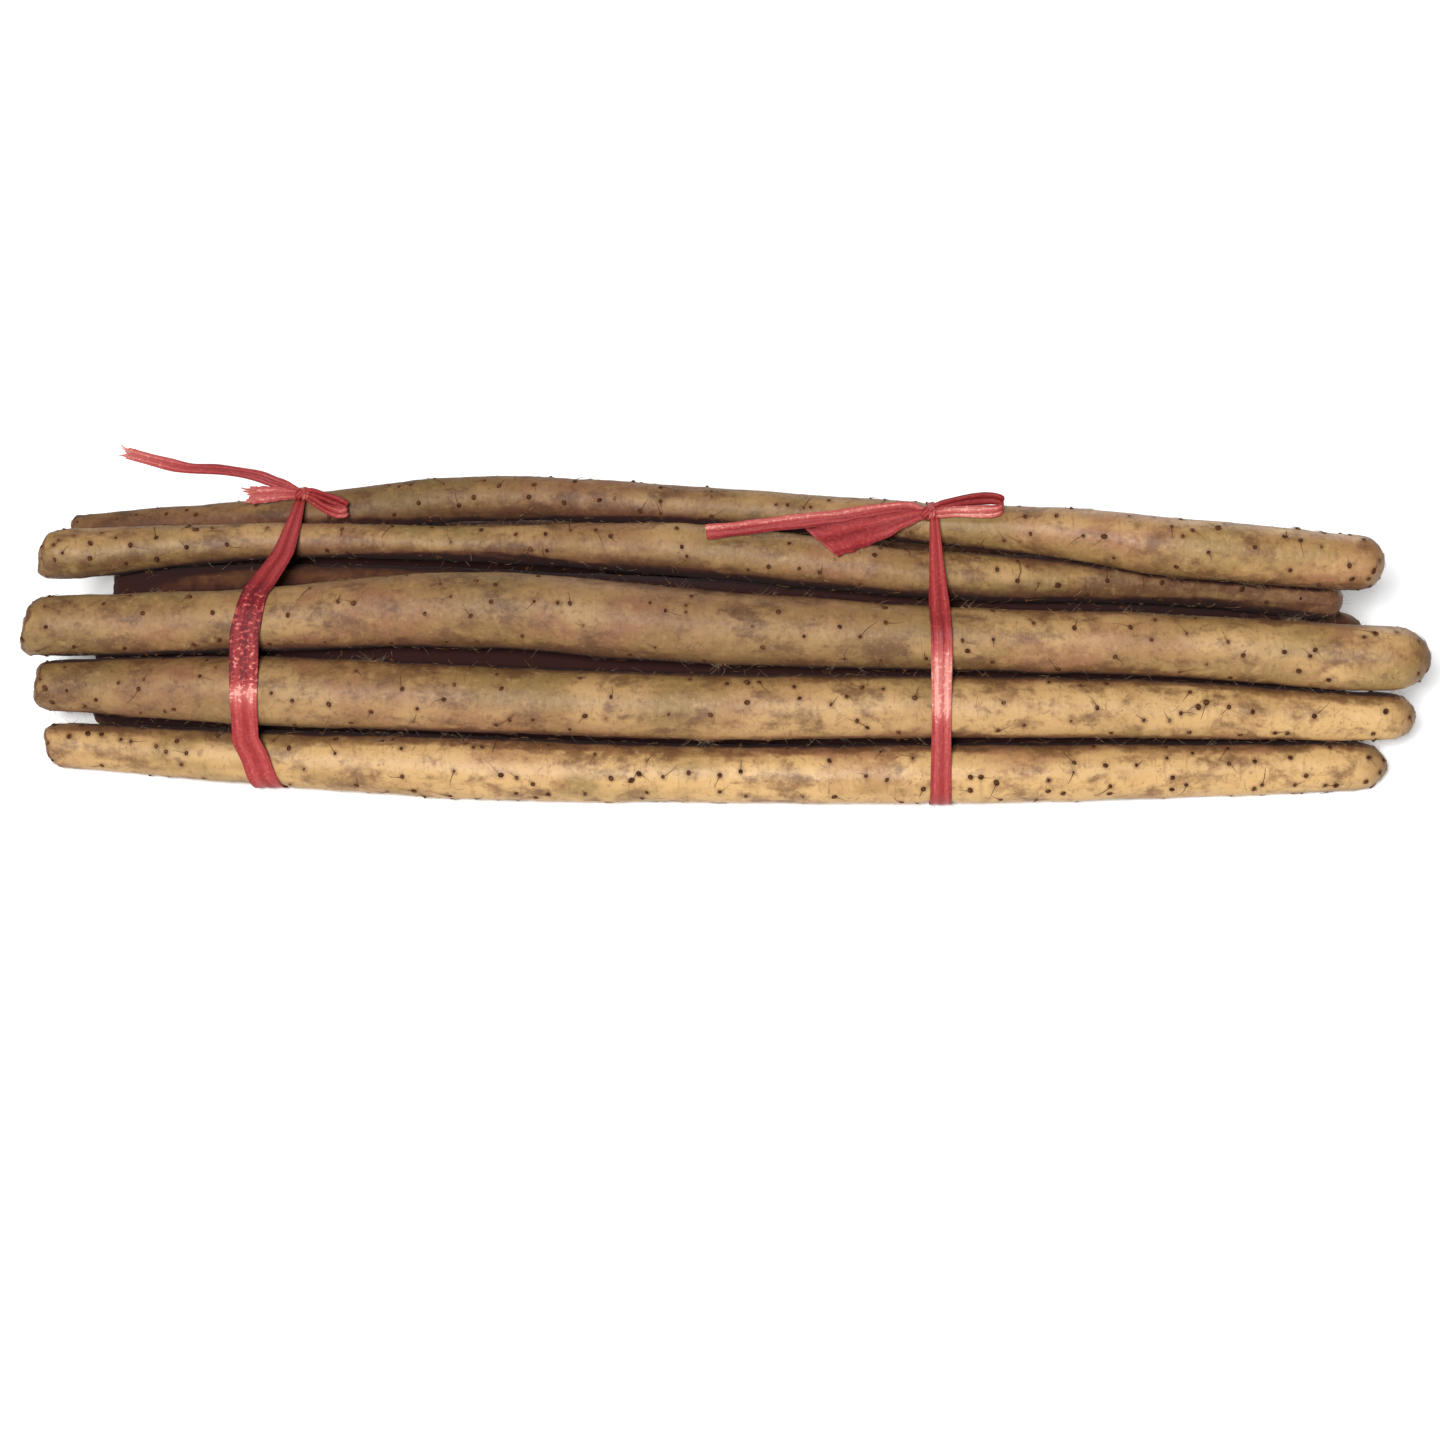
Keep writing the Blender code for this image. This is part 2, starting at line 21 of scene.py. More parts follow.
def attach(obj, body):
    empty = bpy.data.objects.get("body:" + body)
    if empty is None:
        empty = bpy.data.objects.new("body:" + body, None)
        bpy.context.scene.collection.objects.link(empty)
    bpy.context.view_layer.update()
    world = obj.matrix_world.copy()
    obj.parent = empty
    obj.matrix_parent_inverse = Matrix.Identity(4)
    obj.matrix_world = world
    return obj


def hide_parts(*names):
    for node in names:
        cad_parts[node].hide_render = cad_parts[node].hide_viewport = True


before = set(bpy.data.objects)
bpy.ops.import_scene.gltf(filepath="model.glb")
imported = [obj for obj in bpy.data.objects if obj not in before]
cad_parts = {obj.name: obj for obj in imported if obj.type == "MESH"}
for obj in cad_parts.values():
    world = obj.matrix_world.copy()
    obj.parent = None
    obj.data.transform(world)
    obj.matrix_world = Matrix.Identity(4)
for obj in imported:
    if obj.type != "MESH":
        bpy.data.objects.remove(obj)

MM = 0.001
LOG = logging.getLogger("yam_bundle")
Colour = tuple[float, float, float]
Table = tuple[tuple[float, ...], ...]

# The one body.
BODY = "root"

# How shut in a place is, is measured with this many rays of this reach, from this far off the skin.
# Those that leave it less steeply than the slope are left out.
SKY_RAYS = 26
SKY_REACH = 30 * MM
SKY_START = 0.3 * MM
SKY_SLOPE = 0.1

# Where two of the solid's triangles are made one face: how far they bend, and how askew the face is.
FACE_BEND = math.radians(28)
FACE_SKEW = math.radians(60)

# Where the part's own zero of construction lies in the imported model.
BUILD_ZERO = Vector((-0.25, -6.060, 0.0)) * MM


def only(thing: bpy.types.Object) -> None:
    """Selects one object and makes it the active one."""
    bpy.ops.object.select_all(action="DESELECT")
    thing.select_set(True)
    bpy.context.view_layer.objects.active = thing


def placed(name: str, data: bpy.types.ID) -> bpy.types.Object:
    """Puts a mesh, curve, light or camera into the scene as a new object."""
    thing = bpy.data.objects.new(name, data)
    bpy.context.scene.collection.objects.link(thing)
    return thing


def basic_shape(kind: str, **settings: object) -> bpy.types.Object:
    """Adds one of Blender's basic meshes.

    Args:
        kind: Its name in Blender's operators.
        settings: The operator's own settings.

    Returns:
        The new object, which is the only one selected.
    """
    bpy.ops.object.select_all(action="DESELECT")
    getattr(bpy.ops.mesh, f"primitive_{kind}_add")(**settings)
    return bpy.context.active_object


def apply_modifier(thing: bpy.types.Object, kind: str, **settings: object) -> None:
    """Adds a modifier and applies it.

    Args:
        thing: The object that it shapes.
        kind: Blender's name of the modifier type.
        settings: The modifier's own settings.
    """
    only(thing)
    modifier = thing.modifiers.new(kind.lower(), kind)
    for name, value in settings.items():
        setattr(modifier, name, value)
    bpy.ops.object.modifier_apply(modifier=modifier.name)


def places_of(mesh: bpy.types.Mesh, what: str = "co") -> np.ndarray:
    """The places, or with what="normal" the normals, of a mesh's vertices.

    Args:
        mesh: The mesh to read.
        what: The vertex value that is read.

    Returns:
        One row of three numbers a vertex.
    """
    values = np.empty(len(mesh.vertices) * 3)
    mesh.vertices.foreach_get(what, values)
    return values.reshape(-1, 3)


def set_places(mesh: bpy.types.Mesh, places: np.ndarray) -> None:
    """Moves a mesh's vertices to these places."""
    mesh.vertices.foreach_set("co", places.ravel())
    mesh.update()


def mark(mesh: bpy.types.Mesh, name: str, *columns: np.ndarray | float) -> None:
    """Stores three numbers a vertex that a material reads.

    Args:
        mesh: The mesh that carries them.
        name: The attribute's name.
        columns: Up to three numbers or arrays; what is left out is 0.
    """
    values = np.zeros((len(mesh.vertices), 3))
    for index, column in enumerate(columns):
        values[:, index] = column
    layer = mesh.attributes.new(name, "FLOAT_VECTOR", "POINT")
    layer.data.foreach_set("vector", values.ravel())


def ease(values: np.ndarray | float, low: float, high: float) -> np.ndarray:
    """Values carried smoothly from 0 at low to 1 at high.

    Args:
        values: What is carried over.
        low: Where the result is 0.
        high: Where the result is 1. It may be under low.

    Returns:
        The eased values.
    """
    share = np.clip((values - low) / (high - low), 0, 1)
    return share * share * (3 - 2 * share)


def smooth_rows(rows: Sequence[Sequence[float]], count: int) -> np.ndarray:
    """Rows at even steps on a smooth curve through the given rows.

    Args:
        rows: The rows that the curve runs through.
        count: How many rows are wanted.

    Returns:
        The new rows.
    """
    given = np.array(rows, dtype=float)
    last = len(given) - 1
    at = np.linspace(0, last, count)
    span = np.clip(at.astype(int), 0, last - 1)
    t = (at - span)[:, None]
    padded = np.vstack([2 * given[0] - given[1], given, 2 * given[-1] - given[-2]])
    a, b, c, d = (padded[span + i] for i in range(4))
    return 0.5 * (2 * b + (c - a) * t + (2 * a - 5 * b + 4 * c - d) * t**2 + (3 * b - 3 * c + d - a) * t**3)


def unit(rows: np.ndarray) -> np.ndarray:
    """The rows, each brought to length 1."""
    return rows / np.maximum(np.linalg.norm(rows, axis=-1, keepdims=True), 1e-12)


def tree_of(points: Sequence[Vector] | np.ndarray) -> KDTree:
    """A tree that finds the nearest of these points."""
    tree = KDTree(len(points))
    for index, point in enumerate(points):
        tree.insert(point, index)
    tree.balance()
    return tree


def adopt(piece: bpy.types.Object, material: bpy.types.Material) -> None:
    """Gives a finished piece its material and its body.

    Args:
        piece: The piece, with its place in its mesh.
        material: Its finish.
    """
    piece.data.materials.clear()
    piece.data.materials.append(material)
    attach(piece, BODY)


class Signal:
    """A value or colour in a material. Python's operators on it add Math nodes."""

    def __init__(self, sheet: "Sheet", socket: bpy.types.NodeSocket) -> None:
        """Keeps the sheet that the socket is on."""
        self.sheet = sheet
        self.socket = socket

    def _math(self, operation: str, first: object, second: object) -> "Signal":
        """Adds a Math node on two values."""
        return self.sheet.node("ShaderNodeMath", {"operation": operation}, {0: first, 1: second})

    def __add__(self, other: object) -> "Signal":
        """The sum."""
        return self._math("ADD", self, other)

    def __sub__(self, other: object) -> "Signal":
        """The difference."""
        return self._math("SUBTRACT", self, other)

    def __rsub__(self, other: object) -> "Signal":
        """The difference, with this value taken away."""
        return self._math("SUBTRACT", other, self)

    def __mul__(self, other: object) -> "Signal":
        """The product."""
        return self._math("MULTIPLY", self, other)

    def eased(self, low: float, high: float) -> "Signal":
        """The value carried smoothly from 0 at low to 1 at high."""
        settings = {"interpolation_type": "SMOOTHSTEP"}
        return self.sheet.node("ShaderNodeMapRange", settings, {0: self, 1: low, 2: high})

    def parts(self) -> tuple["Signal", "Signal", "Signal"]:
        """The three numbers of a vector."""
        node = self.sheet.node("ShaderNodeSeparateXYZ", inputs={0: self}).socket.node
        return tuple(Signal(self.sheet, socket) for socket in node.outputs)

    def stretched(self, *factors: float) -> "Signal":
        """The vector, multiplied by three factors."""
        return self.sheet.node("ShaderNodeVectorMath", {"operation": "MULTIPLY"}, {0: self, 1: factors})


class Sheet:
    """The nodes of one material."""

    def __init__(self, name: str) -> None:
        """Starts a material with its shader alone."""
        self.material = bpy.data.materials.new(name)
        self.material.use_nodes = True
        self.tree = self.material.node_tree
        self.shader = self.tree.nodes["Principled BSDF"]

    def node(
        self, kind: str, settings: dict | None = None, inputs: dict | None = None, output: int | str = 0
    ) -> Signal:
        """Adds a node.

        Args:
            kind: Blender's name of the node type.
            settings: The node's own settings. "stops" holds a ramp's places and colours.
            inputs: A number, a colour or a signal for each socket, by number or name.
            output: The socket that is read from it.

        Returns:
            The node's output.
        """
        node = self.tree.nodes.new(kind)
        for name, value in (settings or {}).items():
            if name == "stops":
                self._set_stops(node.color_ramp, value)
            else:
                setattr(node, name, value)
        for name, value in (inputs or {}).items():
            self.feed(node.inputs[name], value)
        return Signal(self, node.outputs[output])

    def _set_stops(self, ramp: bpy.types.ColorRamp, stops: Sequence[tuple[float, Colour]]) -> None:
        """Gives a ramp its stops."""
        while len(ramp.elements) < len(stops):
            ramp.elements.new(1.0)
        for element, (place, colour) in zip(ramp.elements, stops):
            element.position = place
            element.color = (*colour, 1)

    def feed(self, socket: bpy.types.NodeSocket, value: object) -> None:
        """Sets a socket to a number or colour, or links a signal to it."""
        if isinstance(value, Signal):
            self.tree.links.new(value.socket, socket)
        elif socket.type == "RGBA":
            socket.default_value = (*value, 1)
        else:
            socket.default_value = value

    def attribute(self, name: str) -> Signal:
        """Three numbers that each vertex carries."""
        return self.node("ShaderNodeAttribute", {"attribute_name": name}, output="Vector")

    def place(self) -> Signal:
        """The place on the object, in metres."""
        return self.node("ShaderNodeTexCoord", output="Object")

    def noise(self, vector: Signal, scale: float, detail: float = 2.0, rough: float = 0.5) -> Signal:
        """Soft noise from 0 to 1 with this many waves a metre."""
        inputs = {"Vector": vector, "Scale": scale, "Detail": detail, "Roughness": rough}
        return self.node("ShaderNodeTexNoise", inputs=inputs)

    def mix(self, share: object, first: object, second: object, how: str = "MIX") -> Signal:
        """Two colours mixed, with this share of the second."""
        settings = {"data_type": "RGBA", "blend_type": how}
        return self.node("ShaderNodeMix", settings, {0: share, 6: first, 7: second}, output=2)

    def layered(self, colour: Signal, *layers: tuple[Signal, Colour]) -> Signal:
        """A colour with others laid over it in turn, each with its own share."""
        for share, tint in layers:
            colour = self.mix(share, colour, tint)
        return colour

    def bump(self, height: Signal, reach: float, strength: float) -> Signal:
        """A normal that a height map tips."""
        inputs = {"Height": height, "Distance": reach, "Strength": strength}
        return self.node("ShaderNodeBump", inputs=inputs)

    def dress(self, **sockets: object) -> bpy.types.Material:
        """Feeds the shader, with an underscore for each blank in a socket's name.

        Args:
            sockets: Numbers, colours and signals by socket.

        Returns:
            The finished material.
        """
        for name, value in sockets.items():
            self.feed(self.shader.inputs[name.replace("_", " ")], value)
        return self.material


@dataclass(frozen=True)
class SkinFinish:
    """Yam skin: soft patches of tan, pink, olive and brown, darker round scars, and painted shade in the
    crevices and on the yams that lie in shadow.
    """

    tan: Colour = (0.275, 0.151, 0.054)
    pale: Colour = (0.435, 0.270, 0.108)
    pink: Colour = (0.265, 0.124, 0.056)
    olive: Colour = (0.215, 0.142, 0.044)
    brown: Colour = (0.118, 0.050, 0.018)
    # Shadow is multiplied in as painted shade on the yams, and parts of yams, that lie in shadow.
    shadow: Colour = (0.420, 0.370, 0.330)
    # Ring darkens the edge of the cut face, and it is also the first, brown stage of the painted shade in the
    # crevices.
    ring: Colour = (0.066, 0.019, 0.006)
    halo: Colour = (0.120, 0.050, 0.016)
    # The near black of the painted shade deep in the crevices.
    crevice_shade_black: Colour = (0.016, 0.002, 0.001)
    cut: Colour = (0.190, 0.105, 0.050)
    roughness: float = 0.46

    def material(self) -> bpy.types.Material:
        """The finish of every yam. Attributes hold what differs from place to place."""
        sheet = Sheet("yam_skin_worn")
        place = sheet.place()
        hollow, halo, cut = sheet.attribute("marks").parts()
        shade, tip, fair = sheet.attribute("tone").parts()
        long_place = place.stretched(0.5, 1.0, 1.0)
        hue = sheet.noise(long_place, 30, 2)
        light = sheet.noise(long_place, 58, 3, 0.6)
        cloud = sheet.noise(place.stretched(0.65, 1.0, 1.0), 105, 5, 0.66)
        blot = sheet.noise(place.stretched(0.8, 1.0, 1.0), 210, 3, 0.6)
        fine = sheet.noise(place, 640, 4, 0.62)
        wrinkle = sheet.noise(place.stretched(5.5, 1.0, 1.0), 120, 3)
        crumbs = sheet.noise(place, 260, 3)
        # Painted shade where the yams shut each other in: near a crevice the skin is painted less pale and
        # browner, deep in one it is painted brown and then near black, and the darker-shaded yams get more of
        # it.
        near = hollow.eased(0.02, 0.55)
        painted_crevice_shade = hollow + (crumbs - 0.5) * 0.25 + shade * shade * 0.22
        colour = sheet.layered(
            sheet.mix(hue.eased(0.46, 0.60), self.tan, self.pink),
            ((1 - hue).eased(0.50, 0.66) * 0.75, self.olive),
            ((light + (fair - 0.5) * 0.34 - near * 0.22).eased(0.40, 0.66), self.pale),
            ((cloud + near * 0.10).eased(0.48, 0.68) * 0.84, self.brown),
            ((1 - blot).eased(0.54, 0.72) * 0.45, self.pale),
            (blot.eased(0.55, 0.72) * 0.55, self.brown),
            (wrinkle.eased(0.58, 0.72) * 0.28, self.brown),
            (fine.eased(0.54, 0.72) * 0.45, self.brown),
            ((1 - fine).eased(0.55, 0.72) * 0.32, self.pale),
            (tip * (cloud * 0.7 + 0.35), self.brown),
        )
        # Painted shade: the skin is multiplied towards the shadow colour by the yam's shade, most on the yams
        # that lie in shadow.
        colour = sheet.mix(shade * (light * 0.7 + 0.6), colour, self.shadow, "MULTIPLY")
        colour = sheet.layered(
            colour,
            (cut * 0.8, self.cut),
            (((1 - cut) * cut * 4) * 0.8, self.ring),
            (halo * (blot * 0.6 + 0.55), self.halo),
            # Painted shade in the crevices, first brown, then near black.
            (painted_crevice_shade.eased(0.34, 0.80) * 0.85, self.ring),
            (painted_crevice_shade.eased(0.60, 0.86), self.crevice_shade_black),
        )
        height = fine * 0.5 + wrinkle * 0.6 + cloud * 0.8 + blot * 0.6
        rough = (fine - 0.5) * 0.30 + (self.roughness + 0.05) + painted_crevice_shade.eased(0.4, 0.8) * 0.4 + shade * 0.15
        normal = sheet.bump(height, 0.40 * MM, 0.6)
        return sheet.dress(Base_Color=colour, Roughness=rough, Normal=normal, IOR=1.40)


@dataclass(frozen=True)
class RootFinish:
    """Dried roots: one earthy colour, mottled with a second."""

    name: str
    first: Colour
    second: Colour
    roughness: float

    def material(self) -> bpy.types.Material:
        """The finish of scars, rootlets or hairs."""
        sheet = Sheet(self.name)
        grain = sheet.noise(sheet.place(), 900, 2)
        colour = sheet.mix(grain.eased(0.38, 0.66), self.first, self.second)
        normal = sheet.bump(grain, 0.2 * MM, 0.6)
        return sheet.dress(Base_Color=colour, Roughness=self.roughness, Normal=normal, IOR=1.25)


@dataclass(frozen=True)
class FilmFinish:
    """Thin red film, painted deep red as shade in its folds and painted pale pink as highlights where it
    catches light.
    """

    # Deep is the painted shade in the folds; pink and glint are painted highlights.
    deep: Colour = (0.080, 0.004, 0.006)
    red: Colour = (0.175, 0.012, 0.014)
    rose: Colour = (0.255, 0.028, 0.028)
    pink: Colour = (0.335, 0.072, 0.062)
    glint: Colour = (0.530, 0.235, 0.190)
    roughness: float = 0.44

    def material(self) -> bpy.types.Material:
        """The finish of both tapes. It follows the film by its attributes."""
        sheet = Sheet("tape_film_creased")
        run = sheet.attribute("run")
        _, across, pale = run.parts()
        height, crinkle, _ = sheet.attribute("fold").parts()
        streaks = sheet.noise(run.stretched(70.0, 4.2, 0.0), 1.0, 3, 0.6)
        threads = sheet.noise(run.stretched(160.0, 15.0, 0.0), 1.0, 2)
        crush = sheet.noise(sheet.place(), 950, 3, 0.65)
        dashes = sheet.noise(run.stretched(820.0, 2.6, 0.0), 1.0, 2, 0.6)
        # How pale the film is painted: the tone tables' painted shade and highlights, painted shade in the
        # fold valleys and painted highlights on the ridges, and painted glints where it is crinkled.
        level = pale + (height - 0.5) * 0.34 + (streaks - 0.5) * 0.42 + (threads - 0.5) * 0.22
        level = level + dashes.eased(0.50, 0.66) * crinkle * 1.5 + (crush - 0.5) * 0.22
        stops = (
            (0.0, self.deep), (0.25, self.red), (0.50, self.rose), (0.78, self.pink), (1.0, self.glint),
        )
        colour = sheet.node("ShaderNodeValToRGB", {"stops": stops}, {0: level})
        relief = threads * 0.5 + streaks * 0.6 + dashes * crinkle * 2.2 + crush * 0.25
        rough = (crush - 0.5) * 0.3 + crinkle * 0.3 + (self.roughness + 0.05)
        normal = sheet.bump(relief, 0.4 * MM, 0.35)
        return sheet.dress(Base_Color=colour, Roughness=rough, Normal=normal, IOR=1.30)


class Scar(Enum):
    """How a root scar ends."""

    KNOB = "knob"
    CRATER = "crater"
    STUB = "stub"


@dataclass
class Shape:
    """A small shape that is copied many times: its corners and its faces."""

    corners: np.ndarray
    faces: np.ndarray

    @classmethod
    def taken_from(cls, thing: bpy.types.Object) -> "Shape":
        """Keeps an object's triangles and deletes the object."""
        apply_modifier(thing, "TRIANGULATE")
        corners = places_of(thing.data)
        faces = np.array([face.vertices[:] for face in thing.data.polygons])
        bpy.data.objects.remove(thing, do_unlink=True)
        return cls(corners, faces)


def scar_shape(scar: Scar) -> Shape:
    """Models one root scar, one unit wide each way from its middle and rising along Z.

    Args:
        scar: How it ends.

    Returns:
        The shape, to be copied.
    """
    thing = basic_shape("uv_sphere", segments=7, ring_count=5, radius=1)
    bpy.ops.object.mode_set(mode="EDIT")
    bpy.ops.mesh.select_all(action="DESELECT")
    bpy.ops.object.mode_set(mode="OBJECT")
    for vertex in thing.data.vertices:
        vertex.select = vertex.co.z > (0.9 if scar is Scar.CRATER else 0.5)
    bpy.ops.object.mode_set(mode="EDIT")
    if scar is Scar.CRATER:
        bpy.ops.transform.translate(value=(0, 0, -0.75))
    elif scar is Scar.STUB:
        bpy.ops.transform.translate(value=(0.25, 0, 0.75))
        bpy.ops.transform.resize(value=(0.6, 0.6, 1.0))
    bpy.ops.object.mode_set(mode="OBJECT")
    return Shape.taken_from(thing)


def filled_piece(name: str, corners: list[np.ndarray], faces: list[np.ndarray]) -> bpy.types.Object:
    """One object from many copies of small shapes.

    Args:
        name: The piece's name.
        corners: Each copy's corners.
        faces: Each copy's faces, numbered from its own first corner.

    Returns:
        The object, smooth-shaded.
    """
    starts = np.cumsum([0] + [len(each) for each in corners[:-1]])
    joined = np.vstack([each + start for each, start in zip(faces, starts)])
    mesh = bpy.data.meshes.new(name)
    mesh.from_pydata(np.vstack(corners).tolist(), [], joined.tolist())
    mesh.shade_smooth()
    return placed(name, mesh)


def threads_piece(name: str, threads: Iterable[tuple[list[Vector], float]]) -> bpy.types.Object:
    """Thin tapered threads, as one mesh.

    Args:
        name: The piece's name.
        threads: Each thread's points and its radius at the root.

    Returns:
        The object.
    """
    curve = bpy.data.curves.new(name, "CURVE")
    curve.dimensions = "3D"
    curve.bevel_depth = 1.0
    curve.bevel_resolution = 0
    curve.use_fill_caps = True
    for points, radius in threads:
        spline = curve.splines.new("POLY")
        spline.points.add(len(points) - 1)
        for index, (point, spot) in enumerate(zip(spline.points, points)):
            point.co = (*spot, 1)
            point.radius = radius * (1 - 0.75 * index / (len(points) - 1))
    only(placed(name, curve))
    bpy.ops.object.convert(target="MESH")
    piece = bpy.context.active_object
    piece.data.name = name
    piece.data.shade_smooth()
    return piece


@dataclass(frozen=True)
class Thread:
    """A kind of thin root. Its lengths (least, most, usual), radii and lift are in millimetres."""

    lengths: tuple[float, float, float]
    radii: tuple[float, float]
    steps: int = 3
    lift: float = 0.0

    def length(self, rng: random.Random) -> float:
        """A length in metres."""
        return rng.triangular(*self.lengths) * MM

    def radius(self, rng: random.Random) -> float:
        """A radius at the root, in metres."""
        return rng.uniform(*self.radii) * MM


# The usual angle between a thin root and the yam's length, and how far it strays from that.
ROOT_ANGLE = 0.75
ROOT_STRAY = 0.45

ROOTLET = Thread((1.8, 8.5, 4.5), (0.13, 0.22), 5, 0.6)
HAIR = Thread((1.2, 6.5, 2.2), (0.035, 0.07))
FUZZ = Thread((1.2, 5.0, 2.2), (0.05, 0.11), 3, 0.35)


@dataclass
class Yam:
    """One yam: its skin, its scars with rootlets, and the fine hairs at its crevices.

    Shade is the painted shade at its head, middle and foot: how much darker it is painted where it lies in
    shadow in the bundle. Fair is how pale it is at its head and foot, partly its own tone and partly painted
    light on the lower front yams and on the feet. Levels is how often its mesh is made finer, rootlets the
    share of its scars that have one, and lean how much its cut face leans up. Waves are (size, height, part
    of the skin) of its unevenness.
    """

    node: str
    shade: tuple[float, float, float] = (0.3, 0.2, 0.1)
    fair: tuple[float, float] = (0.3, 0.3)
    levels: int = 3
    scars: int = 240
    rootlets: float = 0.55
    hairs: int = 240
    fuzz: int = 600
    lean: float = 0.0
    scar_tries: int = 40
    scar_gap: float = 4.8 * MM
    bare_ends: tuple[float, float] = (2 * MM, 1.5 * MM)
    bare_under: float = 1.5 * MM
    scar_width: tuple[float, float, float] = (0.54 * MM, 1.15 * MM, 0.80 * MM)
    collar: float = 0.20 * MM
    collar_reach: float = 1.6 * MM
    tape_room: float = 2.4 * MM
    pressed: float = 0.45 * MM
    regain: float = 0.70 * MM
    waves: tuple = ((16 * MM, 1.0 * MM, ""), (3.6 * MM, 0.25 * MM, ""), (6 * MM, 2.2 * MM, "head"))
    head: float = 11 * MM
    foot: float = 14 * MM
    floor_gap: float = 0.15 * MM
    tip_edge: float = 2.1 * MM
    crevice: tuple[float, float] = (0.30, 0.75)
    rng: random.Random = field(init=False, repr=False)
    tips: list[Vector] = field(init=False, repr=False)
    near_scar: np.ndarray = field(init=False, repr=False)
    hollow: np.ndarray = field(init=False, repr=False)

    def build(self, finishes: "Finishes", shapes: dict[Scar, Shape], others: BVHTree, tapes: BVHTree) -> None:
        """Makes all of the yam's pieces.

        Args:
            finishes: The materials.
            shapes: The scars' shapes.
            others: The yams round it.
            tapes: The tapes' solids.
        """
        self.rng = random.Random(self.node)
        skin = self.make_skin(others, tapes)
        spots = self.scatter(skin, tapes)
        self.raise_collars(skin, spots)
        self.mark_skin(skin)
        adopt(skin, finishes.skin)
        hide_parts(self.node)
        own = BVHTree.FromObject(skin, bpy.context.evaluated_depsgraph_get())
        self.make_roots(spots, shapes, own, finishes)
        self.make_hairs(skin, own, finishes)
        LOG.info("%s: %d faces, %d scars", self.node, len(skin.data.polygons), len(spots))

    def make_skin(self, others: BVHTree, tapes: BVHTree) -> bpy.types.Object:
        """A finer copy of the CAD node, with soft unevenness. It also finds the solid's scars.

        Args:
            others: The yams round it.
            tapes: The tapes' solids, which press the skin in.

        Returns:
            The skin, which carries how shut in each place is.
        """
        skin = placed(self.node + "_skin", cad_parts[self.node].data.copy())
        only(skin)
        bpy.ops.mesh.customdata_custom_splitnormals_clear()
        bpy.ops.object.mode_set(mode="EDIT")
        bpy.ops.mesh.select_all(action="SELECT")
        bpy.ops.mesh.remove_doubles(threshold=0.001 * MM)
        bpy.ops.mesh.mark_sharp(clear=True)
        bpy.ops.object.mode_set(mode="OBJECT")
        self.find_tips(skin.data)
        bpy.ops.object.mode_set(mode="EDIT")
        bpy.ops.mesh.tris_convert_to_quads(face_threshold=FACE_BEND, shape_threshold=FACE_SKEW)
        bpy.ops.object.mode_set(mode="OBJECT")
        apply_modifier(skin, "SUBSURF", levels=self.levels - 1, render_levels=self.levels - 1)
        mark(skin.data, "hollow", self.shut_in(skin.data, others))
        apply_modifier(skin, "SUBSURF", levels=1, render_levels=1)
        apply_modifier(skin, "DISPLACE", strength=self.regain, mid_level=0)
        self.turn_head(skin)
        for size, strength, group in self.waves:
            clouds = bpy.data.textures.new("clouds", "CLOUDS")
            clouds.noise_scale = size
            settings = dict(texture=clouds, texture_coords="LOCAL", mid_level=0.6, vertex_group=group)
            apply_modifier(skin, "DISPLACE", strength=strength, **settings)
        places = places_of(skin.data)
        away = [tapes.find_nearest(place, self.tape_room)[3] or self.tape_room for place in places]
        press = ease(np.array(away), self.tape_room, self.tape_room / 3) * self.pressed
        places -= places_of(skin.data, "normal") * press[:, None]
        places[:, 2] = np.maximum(places[:, 2], 0)
        set_places(skin.data, places)
        skin.data.shade_smooth()
        return skin

    def turn_head(self, skin: bpy.types.Object) -> None:
        """Leans the cut face up or down and marks the head as the part that is uneven."""
        places = places_of(skin.data)
        low = places[:, 0].min()
        share = ease(places[:, 0], low + self.head, low)
        middle = np.average(places, axis=0, weights=share)
        rise = (places[:, 1] - middle[1] + places[:, 2] - middle[2]) / math.sqrt(2)
        places[:, 0] += self.lean * rise * share
        set_places(skin.data, places)
        group = skin.vertex_groups.new(name="head")
        for index in np.flatnonzero(share > 0):
            group.add([int(index)], float(share[index]), "REPLACE")

    def shut_in(self, mesh: bpy.types.Mesh, others: BVHTree) -> np.ndarray:
        """How much of what each vertex looks out on is another yam.

        Args:
            mesh: The half-fine skin.
            others: The yams round it.

        Returns:
            A share from 0 to 1 for each vertex.
        """
        places = places_of(mesh)
        normals = places_of(mesh, "normal")
        steps = np.arange(SKY_RAYS) + 0.5
        lift = 1 - 2 * steps / SKY_RAYS
        turn = math.pi * (1 + math.sqrt(5)) * steps
        flat = np.sqrt(1 - lift**2)
        sky = np.stack([flat * np.cos(turn), flat * np.sin(turn), lift], axis=1)
        facing = normals @ sky.T
        shut = np.zeros(len(places))
        for index, (place, normal) in enumerate(zip(places, normals)):
            start = place + normal * SKY_START
            seen = blocked = 0.0
            for ray in np.flatnonzero(facing[index] > SKY_SLOPE):
                weight = facing[index, ray]
                seen += weight
                if others.ray_cast(start, sky[ray], SKY_REACH)[0] is not None:
                    blocked += weight
            shut[index] = blocked / seen
        return shut

    def find_tips(self, mesh: bpy.types.Mesh) -> None:
        """Notes the tips of the scars in the solid: the corners that have only short edges."""
        places = places_of(mesh)
        longest = np.zeros(len(places))
        for edge in mesh.edges:
            a, b = edge.vertices
            length = np.linalg.norm(places[a] - places[b])
            longest[a] = max(longest[a], length)
            longest[b] = max(longest[b], length)
        self.tips = [Vector(place) for place in places[longest < self.tip_edge]]

